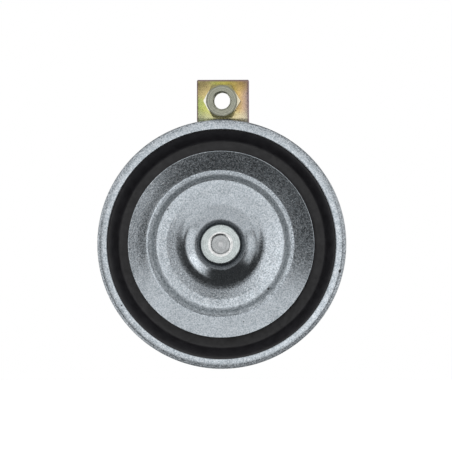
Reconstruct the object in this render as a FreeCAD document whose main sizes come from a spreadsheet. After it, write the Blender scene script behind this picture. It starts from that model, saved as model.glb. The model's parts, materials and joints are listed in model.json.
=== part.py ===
import FreeCAD, Part
import math
import os
import Sketcher

# Disc-type car horn, in millimetres.
# The row frame has +X to the viewer's right, the tone disc facing -Y and the bracket up along +Z.
# Its origin is the middle of the bracket nut's thread, on the thread's axis.
# Every sub-part is drawn in the horn frame: x to the right, y up from the horn's own axis,
# and depth z towards the viewer from the plane where the front ring is widest.

SIZES = {
    # Front ring
    "crimp_clearance": 0.4,
    "ring_face_width": 4.0,
    "ring_front": 5.0,
    "ring_sheet": 0.8,
    "ring_shoulder_bend": 1.5,
    "ring_crimp_bend": 1.2,
    "ring_crimp_reach": 3.4,
    # Stack clamped inside the ring
    "clamp_clearance": 1.2,
    "gasket_thickness": 1.1,
    "gasket_width": 2.0,
    "spacer_thickness": 3.4,
    "spacer_width": 2.8,
    # Diaphragm
    "diaphragm_sheet": 0.5,
    "diaphragm_flange_width": 2.4,
    "diaphragm_ramp_width": 5.0,
    "diaphragm_ramp_depth": 3.8,
    "diaphragm_hub_radius": 15.0,
    "diaphragm_dish_width": 12.0,
    "diaphragm_dish_depth": 1.3,
    "diaphragm_edge_bend": 1.2,
    "diaphragm_ramp_bend": 6.0,
    "diaphragm_dish_bend": 4.0,
    # Tone disc
    "tone_sheet": 1.2,
    "tone_seat_margin": 0.4,
    "tone_seat_bend": 0.6,
    "tone_crest_lean": 1.5,
    "tone_crest_height": 2.3,
    "tone_crest_bend": 1.3,
    "tone_valley_drop": 2.2,
    "tone_bell_width": 5.9,
    "tone_bell_bend": 10.0,
    "tone_skirt_height": 0.62,
    "tone_skirt_width": 5.1,
    "tone_skirt_bend": 40.0,
    "tone_valley_width": 5.5,
    "tone_step_width": 1.9,
    "tone_step_height": 1.25,
    "tone_step_bend": 2.0,
    "tone_foot_bend": 3.0,
    "tone_land_width": 1.8,
    "tone_land_fall": 0.06,
    "tone_flange_width": 7.5,
    "tone_flange_rise": 1.22,
    "tone_flange_bend": 6.0,
    # Stem, collar and what is threaded on the stem
    "stem_radius": 3.9,
    "stem_clearance": 0.04,
    "stem_recess": 0.8,
    "stem_chamfer": 0.3,
    "collar_radius": 7.8,
    "collar_height": 2.8,
    "collar_chamfer": 0.25,
    "collar_mouth_width": 0.65,
    "collar_mouth_depth": 0.42,
    "sleeve_radius": 7.4,
    "sleeve_length": 5.1,
    "hub_washer_radius": 11.0,
    "hub_washer_thickness": 1.0,
    "armature_radius": 15.0,
    "armature_thickness": 4.8,
    "armature_chamfer": 0.6,
    # Electromagnet
    "air_gap": 0.8,
    "core_radius": 9.0,
    "core_chamfer": 0.6,
    "bobbin_wall": 1.5,
    "bobbin_flange_lip": 1.5,
    "bobbin_flange_thickness": 1.2,
    "bobbin_clearance": 0.05,
    "winding_build": 10.95,
    "armature_clearance": 0.8,
    "magnet_plate_inset": 2.8,
    "magnet_plate_thickness": 2.0,
    # Case
    "case_sheet": 1.0,
    "coil_clearance": 2.5,
    "case_neck_taper": 1.5,
    "case_shoulder_width": 14.0,
    "case_mouth_taper": 3.0,
    "case_flange_width": 4.8,
    "case_mouth_depth": 13.2,
    "case_cup_depth": 17.0,
    "case_mouth_bend": 1.5,
    "case_shoulder_bend": 3.0,
    "case_neck_bend": 2.5,
    "case_floor_bend": 2.0,
    # Rivets of the magnet plate
    "plate_rivet_inset": 1.5,
    "plate_rivet_radius": 1.6,
    "plate_rivet_head_radius": 2.9,
    "plate_rivet_head_height": 1.3,
    "plate_rivet_dome": 0.9,
    # Contact breaker
    "breaker_inset": 4.0,
    "arm_width": 6.0,
    "stack_bottom": 7.0,
    "stack_height": 10.0,
    "insulator_width": 8.0,
    "insulator_thickness": 1.0,
    "insulator_gap_thickness": 2.2,
    "moving_arm_thickness": 0.4,
    "moving_arm_margin": 3.5,
    "finger_width": 5.0,
    "finger_margin": 1.9,
    "fixed_arm_thickness": 1.0,
    "fixed_arm_margin": 2.7,
    "contact_radius": 2.0,
    "contact_drop": 4.5,
    "pusher_inset": 2.1,
    "pusher_radius": 1.4,
    "pusher_clearance": 0.55,
    "breaker_rivet_margin": 2.5,
    "breaker_rivet_radius": 1.2,
    "breaker_rivet_head_radius": 2.2,
    "breaker_rivet_head_height": 0.9,
    "arm_hole_radius": 1.8,
    # Adjusting screw and its bush
    "screw_drop": 15.8,
    "screw_radius": 2.0,
    "screw_clearance": 0.03,
    "screw_slot_width": 0.8,
    "screw_slot_depth": 1.2,
    "screw_overhang": 2.0,
    "bush_radius": 3.2,
    "bush_flange_radius": 4.3,
    "bush_flange_thickness": 2.0,
    # Terminals
    "block_margin": 6.0,
    "block_rise": 3.5,
    "block_height": 8.5,
    "block_thickness": 5.0,
    "block_corner": 2.0,
    "boss_radius": 2.6,
    "terminal_spacing": 14.0,
    "terminal_inset": 1.0,
    "terminal_insulator_margin": 5.0,
    "terminal_insulator_height": 6.6,
    "terminal_insulator_thickness": 1.0,
    "blade_width": 6.3,
    "blade_sheet": 0.8,
    "blade_bend": 1.2,
    "blade_foot_margin": 0.7,
    "blade_inset": 1.0,
    "blade_length": 10.0,
    "blade_corner": 1.3,
    "blade_hole_radius": 0.9,
    "blade_hole_setback": 3.6,
    "terminal_rivet_radius": 1.5,
    "terminal_rivet_head_radius": 2.4,
    "terminal_rivet_head_height": 1.0,
    "terminal_rivet_dome": 0.7,
    # Bracket
    "strap_width": 21.0,
    "strap_sheet": 2.5,
    "strap_setback": 5.0,
    "strap_end_margin": 8.7,
    "strap_upper_inset": 1.5,
    "strap_shoulder_inset": 0.35,
    "strap_bend": 5.0,
    "strap_corner_margin": 0.1,
    "strap_hole_radius": 4.4,
    # Rear stud, its washer and both nuts
    "stud_radius": 4.0,
    "stud_clearance": 0.1,
    "thread_clearance": 0.04,
    "stud_overhang": 1.8,
    "stud_chamfer": 0.7,
    "washer_radius": 6.9,
    "washer_thickness": 2.0,
    "washer_split": 12.0,
    "nut_across_flats": 13.0,
    "nut_height": 6.5,
    "nut_bore_radius": 3.32,
    "nut_gap": 1.1,
    "nut_face_margin": 0.3,
    "nut_corner_margin": 0.4,
    "nut_chamfer": 1.2,
    "nut_bore_chamfer": 0.6,
}

document = FreeCAD.newDocument("CarHorn")
sheet = document.addObject("Spreadsheet::Sheet", "Sizes")
for row, (alias, value) in enumerate(SIZES.items(), start=1):
    sheet.set("A%d" % row, alias)
    sheet.set("B%d" % row, str(value))
    sheet.setAlias("B%d" % row, alias)
document.recompute()


class Size:
    """A length that carries its number and the spreadsheet formula behind it."""

    def __init__(self, value, formula):
        self.value = value
        self.formula = formula

    def __add__(self, other):
        other = as_size(other)
        return Size(self.value + other.value, "(%s + %s)" % (self.formula, other.formula))

    def __sub__(self, other):
        other = as_size(other)
        return Size(self.value - other.value, "(%s - %s)" % (self.formula, other.formula))

    def __mul__(self, other):
        other = as_size(other)
        return Size(self.value * other.value, "(%s * %s)" % (self.formula, other.formula))

    def __truediv__(self, other):
        other = as_size(other)
        return Size(self.value / other.value, "(%s / %s)" % (self.formula, other.formula))

    def __neg__(self):
        return Size(-self.value, "(-1 * %s)" % self.formula)


def as_size(length):
    if isinstance(length, Size):
        return length
    return Size(float(length), str(float(length)))


def size(alias):
    return Size(SIZES[alias], "Sizes." + alias)


# Radii that several pieces share, from the horn's axis outwards

BOBBIN_BORE = size("core_radius") + size("bobbin_clearance")
BOBBIN_TUBE = BOBBIN_BORE + size("bobbin_wall")
WINDING_RADIUS = BOBBIN_TUBE + size("winding_build")
BOBBIN_FLANGE_RADIUS = WINDING_RADIUS + size("bobbin_flange_lip")
CASE_FLOOR_RADIUS = BOBBIN_FLANGE_RADIUS + size("coil_clearance")
CASE_NECK_RADIUS = CASE_FLOOR_RADIUS + size("case_neck_taper")
CASE_SHOULDER_RADIUS = CASE_NECK_RADIUS + size("case_shoulder_width")
CASE_MOUTH_RADIUS = CASE_SHOULDER_RADIUS + size("case_mouth_taper")
CASE_FLANGE_RADIUS = CASE_MOUTH_RADIUS + size("case_flange_width")
RING_INSIDE = CASE_FLANGE_RADIUS + size("crimp_clearance")
RING_RADIUS = RING_INSIDE + size("ring_sheet")
CLAMPED_RADIUS = RING_INSIDE - size("clamp_clearance")
STEM_HOLE = size("stem_radius") + size("stem_clearance")
STUD_HOLE = size("stud_radius") + size("stud_clearance")
SHOULDER_MIDDLE = (CASE_NECK_RADIUS + CASE_SHOULDER_RADIUS) / 2
PLATE_RIVET_CIRCLE = SHOULDER_MIDDLE - size("plate_rivet_inset")
BREAKER_CENTRE = SHOULDER_MIDDLE - size("breaker_inset")
AXIS_DROP = RING_RADIUS + size("nut_gap") + size("nut_across_flats") / 2

# Depths that several pieces share, from the ring's front backwards

RIM_PLANE = size("nut_height") / 2 - size("strap_setback")
DIAPHRAGM_FRONT = size("ring_front") - size("ring_sheet")
DIAPHRAGM_BACK = DIAPHRAGM_FRONT - size("diaphragm_sheet")
GASKET_BACK = DIAPHRAGM_BACK - size("gasket_thickness")
CASE_FLANGE_FRONT = GASKET_BACK - size("spacer_thickness")
CASE_FLANGE_BACK = CASE_FLANGE_FRONT - size("case_sheet")
RING_BACK = CASE_FLANGE_BACK - size("ring_sheet")

DIAPHRAGM_PAN_FRONT = DIAPHRAGM_FRONT - size("diaphragm_ramp_depth")
DIAPHRAGM_HUB_FRONT = DIAPHRAGM_PAN_FRONT - size("diaphragm_dish_depth")
DIAPHRAGM_HUB_BACK = DIAPHRAGM_HUB_FRONT - size("diaphragm_sheet")
TONE_SEAT_BACK = DIAPHRAGM_HUB_FRONT + size("sleeve_length")
TONE_SEAT_FRONT = TONE_SEAT_BACK + size("tone_sheet")
COLLAR_FRONT = TONE_SEAT_FRONT + size("collar_height")
STEM_END = COLLAR_FRONT - size("stem_recess")
ARMATURE_FRONT = DIAPHRAGM_HUB_BACK - size("hub_washer_thickness")
ARMATURE_BACK = ARMATURE_FRONT - size("armature_thickness")
CORE_FRONT = ARMATURE_BACK - size("air_gap")

SHOULDER_INSIDE = CASE_FLANGE_FRONT - size("case_mouth_depth")
SHOULDER_OUTSIDE = SHOULDER_INSIDE - size("case_sheet")
PLATE_FRONT = SHOULDER_INSIDE + size("magnet_plate_thickness")
FLOOR_INSIDE = SHOULDER_INSIDE - size("case_cup_depth")
FLOOR_OUTSIDE = FLOOR_INSIDE - size("case_sheet")
STRAP_FRONT = -size("strap_setback")
STRAP_REAR_BACK = FLOOR_OUTSIDE - size("strap_sheet")
STUD_NUT_FRONT = STRAP_REAR_BACK - size("washer_thickness")
STUD_NUT_BACK = STUD_NUT_FRONT - size("nut_height")

MOVING_ARM_BACK = PLATE_FRONT + size("insulator_thickness")
MOVING_ARM_FRONT = MOVING_ARM_BACK + size("moving_arm_thickness")
FIXED_ARM_BACK = MOVING_ARM_FRONT + size("insulator_gap_thickness")
FIXED_ARM_FRONT = FIXED_ARM_BACK + size("fixed_arm_thickness")
STACK_FRONT = FIXED_ARM_FRONT + size("insulator_thickness")
CONTACT_MEETING = MOVING_ARM_FRONT + size("insulator_gap_thickness") / 2

TERMINAL_DROP = SHOULDER_MIDDLE - size("terminal_inset")
BLOCK_TOP = TERMINAL_DROP - size("block_rise")
BLOCK_BOTTOM = BLOCK_TOP + size("block_height")
BLOCK_BACK = SHOULDER_OUTSIDE - size("block_thickness")
FOOT_BACK = BLOCK_BACK - size("blade_sheet")
INNER_INSULATOR_FRONT = PLATE_FRONT + size("terminal_insulator_thickness")

HORN_TURN = FreeCAD.Rotation(FreeCAD.Vector(1, 0, 0), 90)
subparts = []


# Sketch and feature helpers

def place_in_row(part):
    """Turn the horn frame into the row frame."""
    part.Placement = FreeCAD.Placement(FreeCAD.Vector(0, 0, 0), HORN_TURN)
    part.setExpression("Placement.Base.y", RIM_PLANE.formula)
    part.setExpression("Placement.Base.z", (-AXIS_DROP).formula)


def new_body(name):
    body = document.addObject("PartDesign::Body", name)
    body.Label = name
    place_in_row(body)
    subparts.append(body)
    return body


def new_sketch(body, name, plane, depth=None):
    """A sketch on one of the body's own planes, lifted off it by depth."""
    sketch = body.newObject("Sketcher::SketchObject", name)
    feature = [f for f in body.Origin.OriginFeatures if f.Role == plane][0]
    sketch.AttachmentSupport = [(feature, "")]
    sketch.MapMode = "FlatFace"
    if depth is not None:
        sketch.setExpression("AttachmentOffset.Base.z", depth.formula)
    return sketch


def constrain(sketch, length, *constraint):
    """Add one dimension and bind it to its formula."""
    index = sketch.addConstraint(Sketcher.Constraint(*constraint, length.value))
    sketch.setExpression("Constraints[%d]" % index, length.formula)


def fix_point(sketch, geometry, end, across, along):
    constrain(sketch, across, "DistanceX", -1, 1, geometry, end)
    constrain(sketch, along, "DistanceY", -1, 1, geometry, end)


def unit(start, end):
    direction = end - start
    direction.normalize()
    return direction


def left_of(direction):
    return FreeCAD.Vector(-direction.y, direction.x, 0)


def trace(corners, closed):
    """Work out the straight runs and bends of an outline from its corners."""
    points = [FreeCAD.Vector(c[0].value, c[1].value, 0) for c in corners]
    radii = [c[2].value if len(c) > 2 else 0.0 for c in corners]
    count = len(points)
    bends = []
    for i, point in enumerate(points):
        if radii[i] == 0.0:
            bends.append((point, point, None, 0.0, 0.0))
            continue
        arriving = unit(points[i - 1], point)
        leaving = unit(point, points[(i + 1) % count])
        turn = math.atan2(arriving.cross(leaving).z, arriving.dot(leaving))
        reach = radii[i] * math.tan(abs(turn) / 2)
        begin = point - arriving * reach
        end = point + leaving * reach
        centre = begin + left_of(arriving) * math.copysign(radii[i], turn)
        bends.append((begin, end, centre, radii[i], turn))
    runs = []
    for i in range(count if closed else count - 1):
        runs.append((bends[i][1], bends[(i + 1) % count][0]))
    return bends, runs


def draw_arc(sketch, centre, radius, begin, end, turn):
    """Draw a bend; its first end in the sketch lies at begin when it turns left."""
    first, last = (begin, end) if turn > 0 else (end, begin)
    start_angle = math.atan2(first.y - centre.y, first.x - centre.x)
    end_angle = math.atan2(last.y - centre.y, last.x - centre.x)
    if end_angle < start_angle:
        end_angle += 2 * math.pi
    circle = Part.Circle(centre, FreeCAD.Vector(0, 0, 1), radius)
    arc = sketch.addGeometry(Part.ArcOfCircle(circle, start_angle, end_angle), False)
    begin_end = (1, 2) if turn > 0 else (2, 1)
    return arc, begin_end


def draw_chain(sketch, bends, runs, closed):
    """Draw runs and bends and tie each end to the next."""
    lines = [sketch.addGeometry(Part.LineSegment(a, b), False) for a, b in runs]
    arcs = {}
    for i, (begin, end, centre, radius, turn) in enumerate(bends):
        before = lines[i - 1] if closed or i > 0 else None
        after = lines[i] if i < len(lines) else None
        if centre is None:
            if before is not None and after is not None:
                sketch.addConstraint(Sketcher.Constraint("Coincident", before, 2, after, 1))
            continue
        arc, ends = draw_arc(sketch, centre, radius, begin, end, turn)
        sketch.addConstraint(Sketcher.Constraint("Tangent", before, 2, arc, ends[0]))
        sketch.addConstraint(Sketcher.Constraint("Tangent", after, 1, arc, ends[1]))
        arcs[i] = arc
    return lines, arcs


def fix_corners(sketch, corners, lines, arcs):
    """Give each corner its place and each bend its radius."""
    for i, corner in enumerate(corners):
        if i not in arcs:
            if i < len(lines):
                fix_point(sketch, lines[i], 1, corner[0], corner[1])
            else:
                fix_point(sketch, lines[i - 1], 2, corner[0], corner[1])
            continue
        mark = FreeCAD.Vector(corner[0].value, corner[1].value, 0)
        point = sketch.addGeometry(Part.Point(mark), True)
        sketch.addConstraint(Sketcher.Constraint("PointOnObject", point, 1, lines[i - 1]))
        sketch.addConstraint(Sketcher.Constraint("PointOnObject", point, 1, lines[i]))
        fix_point(sketch, point, 1, corner[0], corner[1])
        constrain(sketch, corner[2], "Radius", arcs[i])


def outline(sketch, corners):
    """A closed outline; a corner may carry a bend radius as its third value."""
    bends, runs = trace(corners, True)
    lines, arcs = draw_chain(sketch, bends, runs, True)
    fix_corners(sketch, corners, lines, arcs)


def sheet_section(sketch, corners, thickness, side):
    """The section of a bent sheet: one face follows corners, the other lies at its thickness.

    side is 1 where the material lies left of the path and -1 where it lies right of it.
    """
    bends, runs = trace(corners, False)
    lines, arcs = draw_chain(sketch, bends, runs, False)
    fix_corners(sketch, corners, lines, arcs)

    def shifted(point, direction):
        return point + left_of(direction) * (side * thickness.value)

    directions = [unit(a, b) for a, b in runs]
    far_runs = [(shifted(a, d), shifted(b, d)) for (a, b), d in zip(runs, directions)]
    far_bends = []
    for i, (begin, end, centre, radius, turn) in enumerate(bends):
        arriving = directions[max(i - 1, 0)]
        leaving = directions[min(i, len(directions) - 1)]
        far_radius = radius - side * math.copysign(thickness.value, turn)
        far_bends.append((shifted(begin, arriving), shifted(end, leaving), centre, far_radius, turn))
    far_lines, far_arcs = draw_chain(sketch, far_bends, far_runs, False)
    for near, far in zip(lines, far_lines):
        sketch.addConstraint(Sketcher.Constraint("Parallel", near, far))
        constrain(sketch, thickness, "Distance", near, 1, far)
    for i, arc in far_arcs.items():
        change = -thickness if bends[i][4] * side > 0 else thickness
        constrain(sketch, corners[i][2] + change, "Radius", arc)
    for run, line, far_line, end in ((0, lines[0], far_lines[0], 0), (-1, lines[-1], far_lines[-1], 1)):
        cap = sketch.addGeometry(Part.LineSegment(runs[run][end], far_runs[run][end]), False)
        sketch.addConstraint(Sketcher.Constraint("Coincident", line, end + 1, cap, 1))
        sketch.addConstraint(Sketcher.Constraint("Coincident", far_line, end + 1, cap, 2))
        sketch.addConstraint(Sketcher.Constraint("Perpendicular", cap, line))


def circle(sketch, across, up, radius):
    centre = FreeCAD.Vector(across.value, up.value, 0)
    ring = sketch.addGeometry(Part.Circle(centre, FreeCAD.Vector(0, 0, 1), radius.value), False)
    fix_point(sketch, ring, 3, across, up)
    constrain(sketch, radius, "Radius", ring)


def revolve(body, sketch, angle=360.0):
    turned = body.newObject("PartDesign::Revolution", body.Name + "_turned")
    turned.Profile = sketch
    turned.ReferenceAxis = (sketch, ["V_Axis"])
    turned.Angle = angle
    return turned


def pad(body, sketch, length, midplane=False):
    feature = body.newObject("PartDesign::Pad", sketch.Name + "_pad")
    feature.Profile = sketch
    feature.setExpression("Length", length.formula)
    feature.Midplane = midplane
    return feature


def pocket(body, sketch, length):
    """A pocket that cuts against its sketch's normal."""
    feature = body.newObject("PartDesign::Pocket", sketch.Name + "_cut")
    feature.Profile = sketch
    feature.setExpression("Length", length.formula)
    return feature


def cut_forward(body, sketch, length):
    """A pocket that cuts from its sketch towards the viewer."""
    feature = pocket(body, sketch, length)
    feature.Reversed = True


def turned_part(name, corners):
    """A part turned on the horn's axis from its half section of radius and depth."""
    body = new_body(name)
    sketch = new_sketch(body, name + "_section", "XZ_Plane")
    outline(sketch, corners)
    revolve(body, sketch)
    return body


def pressed_part(name, corners, thickness, side):
    """A round pressed sheet on the horn's axis."""
    body = new_body(name)
    sketch = new_sketch(body, name + "_section", "XZ_Plane")
    sheet_section(sketch, corners, thickness, side)
    revolve(body, sketch)
    return body


def washer(name, inner, outer, back, front):
    return turned_part(name, [(inner, back), (outer, back), (outer, front), (inner, front)])


def rectangle(left, right, bottom, top):
    return [(left, bottom), (right, bottom), (right, top), (left, top)]


def flat_part(name, corners, back, thickness):
    """A flat plate across the horn's axis."""
    body = new_body(name)
    sketch = new_sketch(body, name + "_outline", "XY_Plane", back)
    outline(sketch, corners)
    pad(body, sketch, thickness)
    return body


def drill(body, name, holes, back, depth):
    """Round holes parallel to the horn's axis, each given as x, y and radius."""
    sketch = new_sketch(body, body.Name + "_" + name, "XY_Plane", back)
    for across, up, radius in holes:
        circle(sketch, across, up, radius)
    cut_forward(body, sketch, depth)


def add_rod(body, name, places, radius, back, length):
    """Round rods parallel to the horn's axis, joined to the body or loose beside it."""
    sketch = new_sketch(body, body.Name + "_" + name, "XY_Plane", back)
    for across, up in places:
        circle(sketch, across, up, radius)
    return pad(body, sketch, length)


def edges_at(feature, test):
    """Names of the feature's edges that pass a test, in the horn frame."""
    return ["Edge%d" % (i + 1) for i, edge in enumerate(feature.Shape.Edges) if test(edge)]


def round_edges(body, name, radius, test):
    """Round the edges of the body's last feature that pass a test."""
    document.recompute()
    last = body.Tip
    chosen = edges_at(last, test)
    rounded = body.newObject("PartDesign::Fillet", name)
    rounded.Base = (last, chosen)
    rounded.setExpression("Radius", radius.formula)
    body.Tip = rounded


def rivet_group(name, places, shank, head, head_height, dome, back, front):
    """Rivets alike, each with a domed head at both ends of the grip from back to front."""
    body = new_body(name)
    body.AllowCompound = True
    add_rod(body, "shanks", places, shank, back, front - back)
    add_rod(body, "rear_heads", places, head, back - head_height, head_height)
    add_rod(body, "front_heads", places, head, front, head_height)
    ends = ((back - head_height).value, (front + head_height).value)

    def is_head_rim(edge):
        depth = edge.BoundBox.Center.z
        flat = edge.BoundBox.ZLength < 0.001
        return flat and any(abs(depth - end) < 0.001 for end in ends)

    round_edges(body, name + "_domes", dome, is_head_rim)
    return body


def hexagon_nut(name, height_on_axis, back, bore):
    """A chamfered hexagon nut with flats at top and bottom and its bore along the depth."""
    body = new_body(name)
    sketch = new_sketch(body, name + "_hexagon", "XY_Plane", back)
    flat = size("nut_across_flats") / 2
    corner = Size(flat.value / math.cos(math.radians(30)), "(%s / cos(30 deg))" % flat.formula)
    middle = height_on_axis
    outline(sketch, [(corner, middle), (corner / 2, middle + flat), (-corner / 2, middle + flat),
                     (-corner, middle), (-corner / 2, middle - flat), (corner / 2, middle - flat)])
    pad(body, sketch, size("nut_height"))
    drill(body, "bore", [(as_size(0), middle, bore)], back, size("nut_height"))

    chamfers = new_sketch(body, name + "_chamfers", "XZ_Plane", -middle)
    face = flat - size("nut_face_margin")
    past_corner = corner + size("nut_corner_margin")
    mouth = size("nut_bore_chamfer")
    for level, inward in ((back, size("nut_chamfer")), (back + size("nut_height"), -size("nut_chamfer"))):
        outline(chamfers, [(face, level), (past_corner, level), (past_corner, level + inward)])
    for level, inward in ((back, mouth), (back + size("nut_height"), -mouth)):
        outline(chamfers, [(bore / 2, level), (bore + mouth, level), (bore, level + inward),
                           (bore / 2, level + inward)])
    groove = body.newObject("PartDesign::Groove", name + "_groove")
    groove.Profile = chamfers
    groove.ReferenceAxis = (chamfers, ["V_Axis"])
    groove.Angle = 360.0
    return body


# Front ring and what it clamps

def make_front_ring():
    front = size("ring_front")
    radius = RING_RADIUS
    pressed_part("front_ring", [
        (radius - size("ring_face_width"), front),
        (radius, front, size("ring_shoulder_bend")),
        (radius, RING_BACK, size("ring_crimp_bend")),
        (radius - size("ring_crimp_reach"), RING_BACK),
    ], size("ring_sheet"), -1)


def make_diaphragm():
    ramp_top = CLAMPED_RADIUS - size("diaphragm_flange_width")
    ramp_foot = ramp_top - size("diaphragm_ramp_width")
    hub = size("diaphragm_hub_radius")
    dish = hub + size("diaphragm_dish_width")
    pressed_part("diaphragm", [
        (CLAMPED_RADIUS, DIAPHRAGM_FRONT),
        (ramp_top, DIAPHRAGM_FRONT, size("diaphragm_edge_bend")),
        (ramp_foot, DIAPHRAGM_PAN_FRONT, size("diaphragm_ramp_bend")),
        (dish, DIAPHRAGM_PAN_FRONT, size("diaphragm_dish_bend")),
        (hub, DIAPHRAGM_HUB_FRONT, size("diaphragm_dish_bend")),
        (STEM_HOLE, DIAPHRAGM_HUB_FRONT),
    ], size("diaphragm_sheet"), 1)


def make_clamped_rings():
    outer = CLAMPED_RADIUS
    washer("diaphragm_gasket", outer - size("gasket_width"), outer, GASKET_BACK, DIAPHRAGM_BACK)
    washer("spacer_ring", outer - size("spacer_width"), outer, CASE_FLANGE_FRONT, GASKET_BACK)


# Tone disc, its stem and the pieces on the stem

def make_tone_disc():
    seat_radius = size("collar_radius") + size("tone_seat_margin")
    crest_radius = seat_radius + size("tone_crest_lean")
    bell_radius = crest_radius + size("tone_bell_width")
    skirt_radius = bell_radius + size("tone_skirt_width")
    step_foot = skirt_radius + size("tone_valley_width")
    step_radius = step_foot + size("tone_step_width")
    land_radius = step_radius + size("tone_land_width")
    crest = TONE_SEAT_FRONT + size("tone_crest_height")
    valley = TONE_SEAT_FRONT - size("tone_valley_drop")
    step = valley + size("tone_step_height")
    land = step - size("tone_land_fall")
    pressed_part("tone_disc", [
        (STEM_HOLE, TONE_SEAT_FRONT),
        (seat_radius, TONE_SEAT_FRONT, size("tone_seat_bend")),
        (crest_radius, crest, size("tone_crest_bend")),
        (bell_radius, valley + size("tone_skirt_height"), size("tone_bell_bend")),
        (skirt_radius, valley, size("tone_skirt_bend")),
        (step_foot, valley, size("tone_foot_bend")),
        (step_radius, step, size("tone_step_bend")),
        (land_radius, land, size("tone_flange_bend")),
        (land_radius + size("tone_flange_width"), land + size("tone_flange_rise")),
    ], size("tone_sheet"), -1)


def make_collar():
    back = TONE_SEAT_FRONT
    outer = size("collar_radius")
    edge = size("collar_chamfer")
    turned_part("collar", [
        (STEM_HOLE, back), (outer, back), (outer, COLLAR_FRONT - edge),
        (outer - edge, COLLAR_FRONT), (STEM_HOLE + size("collar_mouth_width"), COLLAR_FRONT),
        (STEM_HOLE, COLLAR_FRONT - size("collar_mouth_depth")),
    ])


def make_stem_rings():
    washer("distance_sleeve", STEM_HOLE, size("sleeve_radius"), DIAPHRAGM_HUB_FRONT, TONE_SEAT_BACK)
    washer("hub_washer", STEM_HOLE, size("hub_washer_radius"), ARMATURE_FRONT, DIAPHRAGM_HUB_BACK)


def make_armature():
    stem = size("stem_radius")
    tip = size("stem_chamfer")
    outer = size("armature_radius")
    edge = size("armature_chamfer")
    axis = as_size(0)
    turned_part("armature", [
        (axis, ARMATURE_BACK), (outer - edge, ARMATURE_BACK), (outer, ARMATURE_BACK + edge),
        (outer, ARMATURE_FRONT - edge), (outer - edge, ARMATURE_FRONT), (stem, ARMATURE_FRONT),
        (stem, STEM_END - tip), (stem - tip, STEM_END), (axis, STEM_END),
    ])


# Electromagnet

def make_core():
    radius = size("core_radius")
    stud = size("stud_radius")
    edge = size("core_chamfer")
    end = STUD_NUT_BACK - size("stud_overhang")
    tip = size("stud_chamfer")
    axis = as_size(0)
    turned_part("core", [
        (axis, end), (stud - tip, end), (stud, end + tip), (stud, FLOOR_INSIDE),
        (radius, FLOOR_INSIDE), (radius, CORE_FRONT - edge), (radius - edge, CORE_FRONT),
        (axis, CORE_FRONT),
    ])


def make_coil():
    flange = BOBBIN_FLANGE_RADIUS
    lower = FLOOR_INSIDE + size("bobbin_flange_thickness")
    upper = SHOULDER_INSIDE - size("bobbin_flange_thickness")
    turned_part("coil_bobbin", [
        (BOBBIN_BORE, FLOOR_INSIDE), (flange, FLOOR_INSIDE), (flange, lower),
        (BOBBIN_TUBE, lower), (BOBBIN_TUBE, upper), (flange, upper),
        (flange, SHOULDER_INSIDE), (BOBBIN_BORE, SHOULDER_INSIDE),
    ])
    washer("coil_winding", BOBBIN_TUBE, WINDING_RADIUS, lower, upper)


def breaker_place(up):
    return (-BREAKER_CENTRE, up)


def breaker_rivet_heights():
    bottom = size("stack_bottom")
    margin = size("breaker_rivet_margin")
    return (bottom + size("stack_height") - margin, bottom + margin)


def terminal_places():
    half = size("terminal_spacing") / 2
    return [(-half, -TERMINAL_DROP), (half, -TERMINAL_DROP)]


def plate_rivet_places():
    circle_radius = PLATE_RIVET_CIRCLE
    places = []
    for degrees in (0, 120, 240):
        angle = math.radians(degrees)
        across = Size(circle_radius.value * math.cos(angle),
                      "(%s * cos(%d deg))" % (circle_radius.formula, degrees))
        up = Size(circle_radius.value * math.sin(angle),
                  "(%s * sin(%d deg))" % (circle_radius.formula, degrees))
        places.append((across, up))
    return places


def make_magnet_plate():
    thickness = size("magnet_plate_thickness")
    bore = size("armature_radius") + size("armature_clearance")
    outer = CASE_SHOULDER_RADIUS - size("magnet_plate_inset")
    body = washer("magnet_plate", bore, outer, SHOULDER_INSIDE, PLATE_FRONT)
    holes = [place + (size("plate_rivet_radius"),) for place in plate_rivet_places()]
    holes += [place + (size("boss_radius"),) for place in terminal_places()]
    holes.append(breaker_place(-size("screw_drop")) + (size("bush_radius"),))
    for up in breaker_rivet_heights():
        holes.append(breaker_place(up) + (size("breaker_rivet_radius"),))
    drill(body, "holes", holes, SHOULDER_INSIDE, thickness)
    rivet_group("plate_rivets", plate_rivet_places(), size("plate_rivet_radius"),
                size("plate_rivet_head_radius"), size("plate_rivet_head_height"),
                size("plate_rivet_dome"), SHOULDER_OUTSIDE, PLATE_FRONT)


# Case

def make_case():
    floor_path = [
        (CASE_FLANGE_RADIUS, CASE_FLANGE_FRONT),
        (CASE_MOUTH_RADIUS, CASE_FLANGE_FRONT, size("case_mouth_bend")),
        (CASE_SHOULDER_RADIUS, SHOULDER_INSIDE, size("case_shoulder_bend")),
        (CASE_NECK_RADIUS, SHOULDER_INSIDE, size("case_neck_bend")),
        (CASE_FLOOR_RADIUS, FLOOR_INSIDE, size("case_floor_bend")),
        (STUD_HOLE, FLOOR_INSIDE),
    ]
    body = pressed_part("case", floor_path, size("case_sheet"), 1)
    holes = [place + (size("plate_rivet_radius"),) for place in plate_rivet_places()]
    holes += [place + (size("boss_radius"),) for place in terminal_places()]
    holes.append(breaker_place(-size("screw_drop")) + (size("bush_radius"),))
    drill(body, "holes", holes, SHOULDER_OUTSIDE, size("case_sheet"))


# Contact breaker

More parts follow.
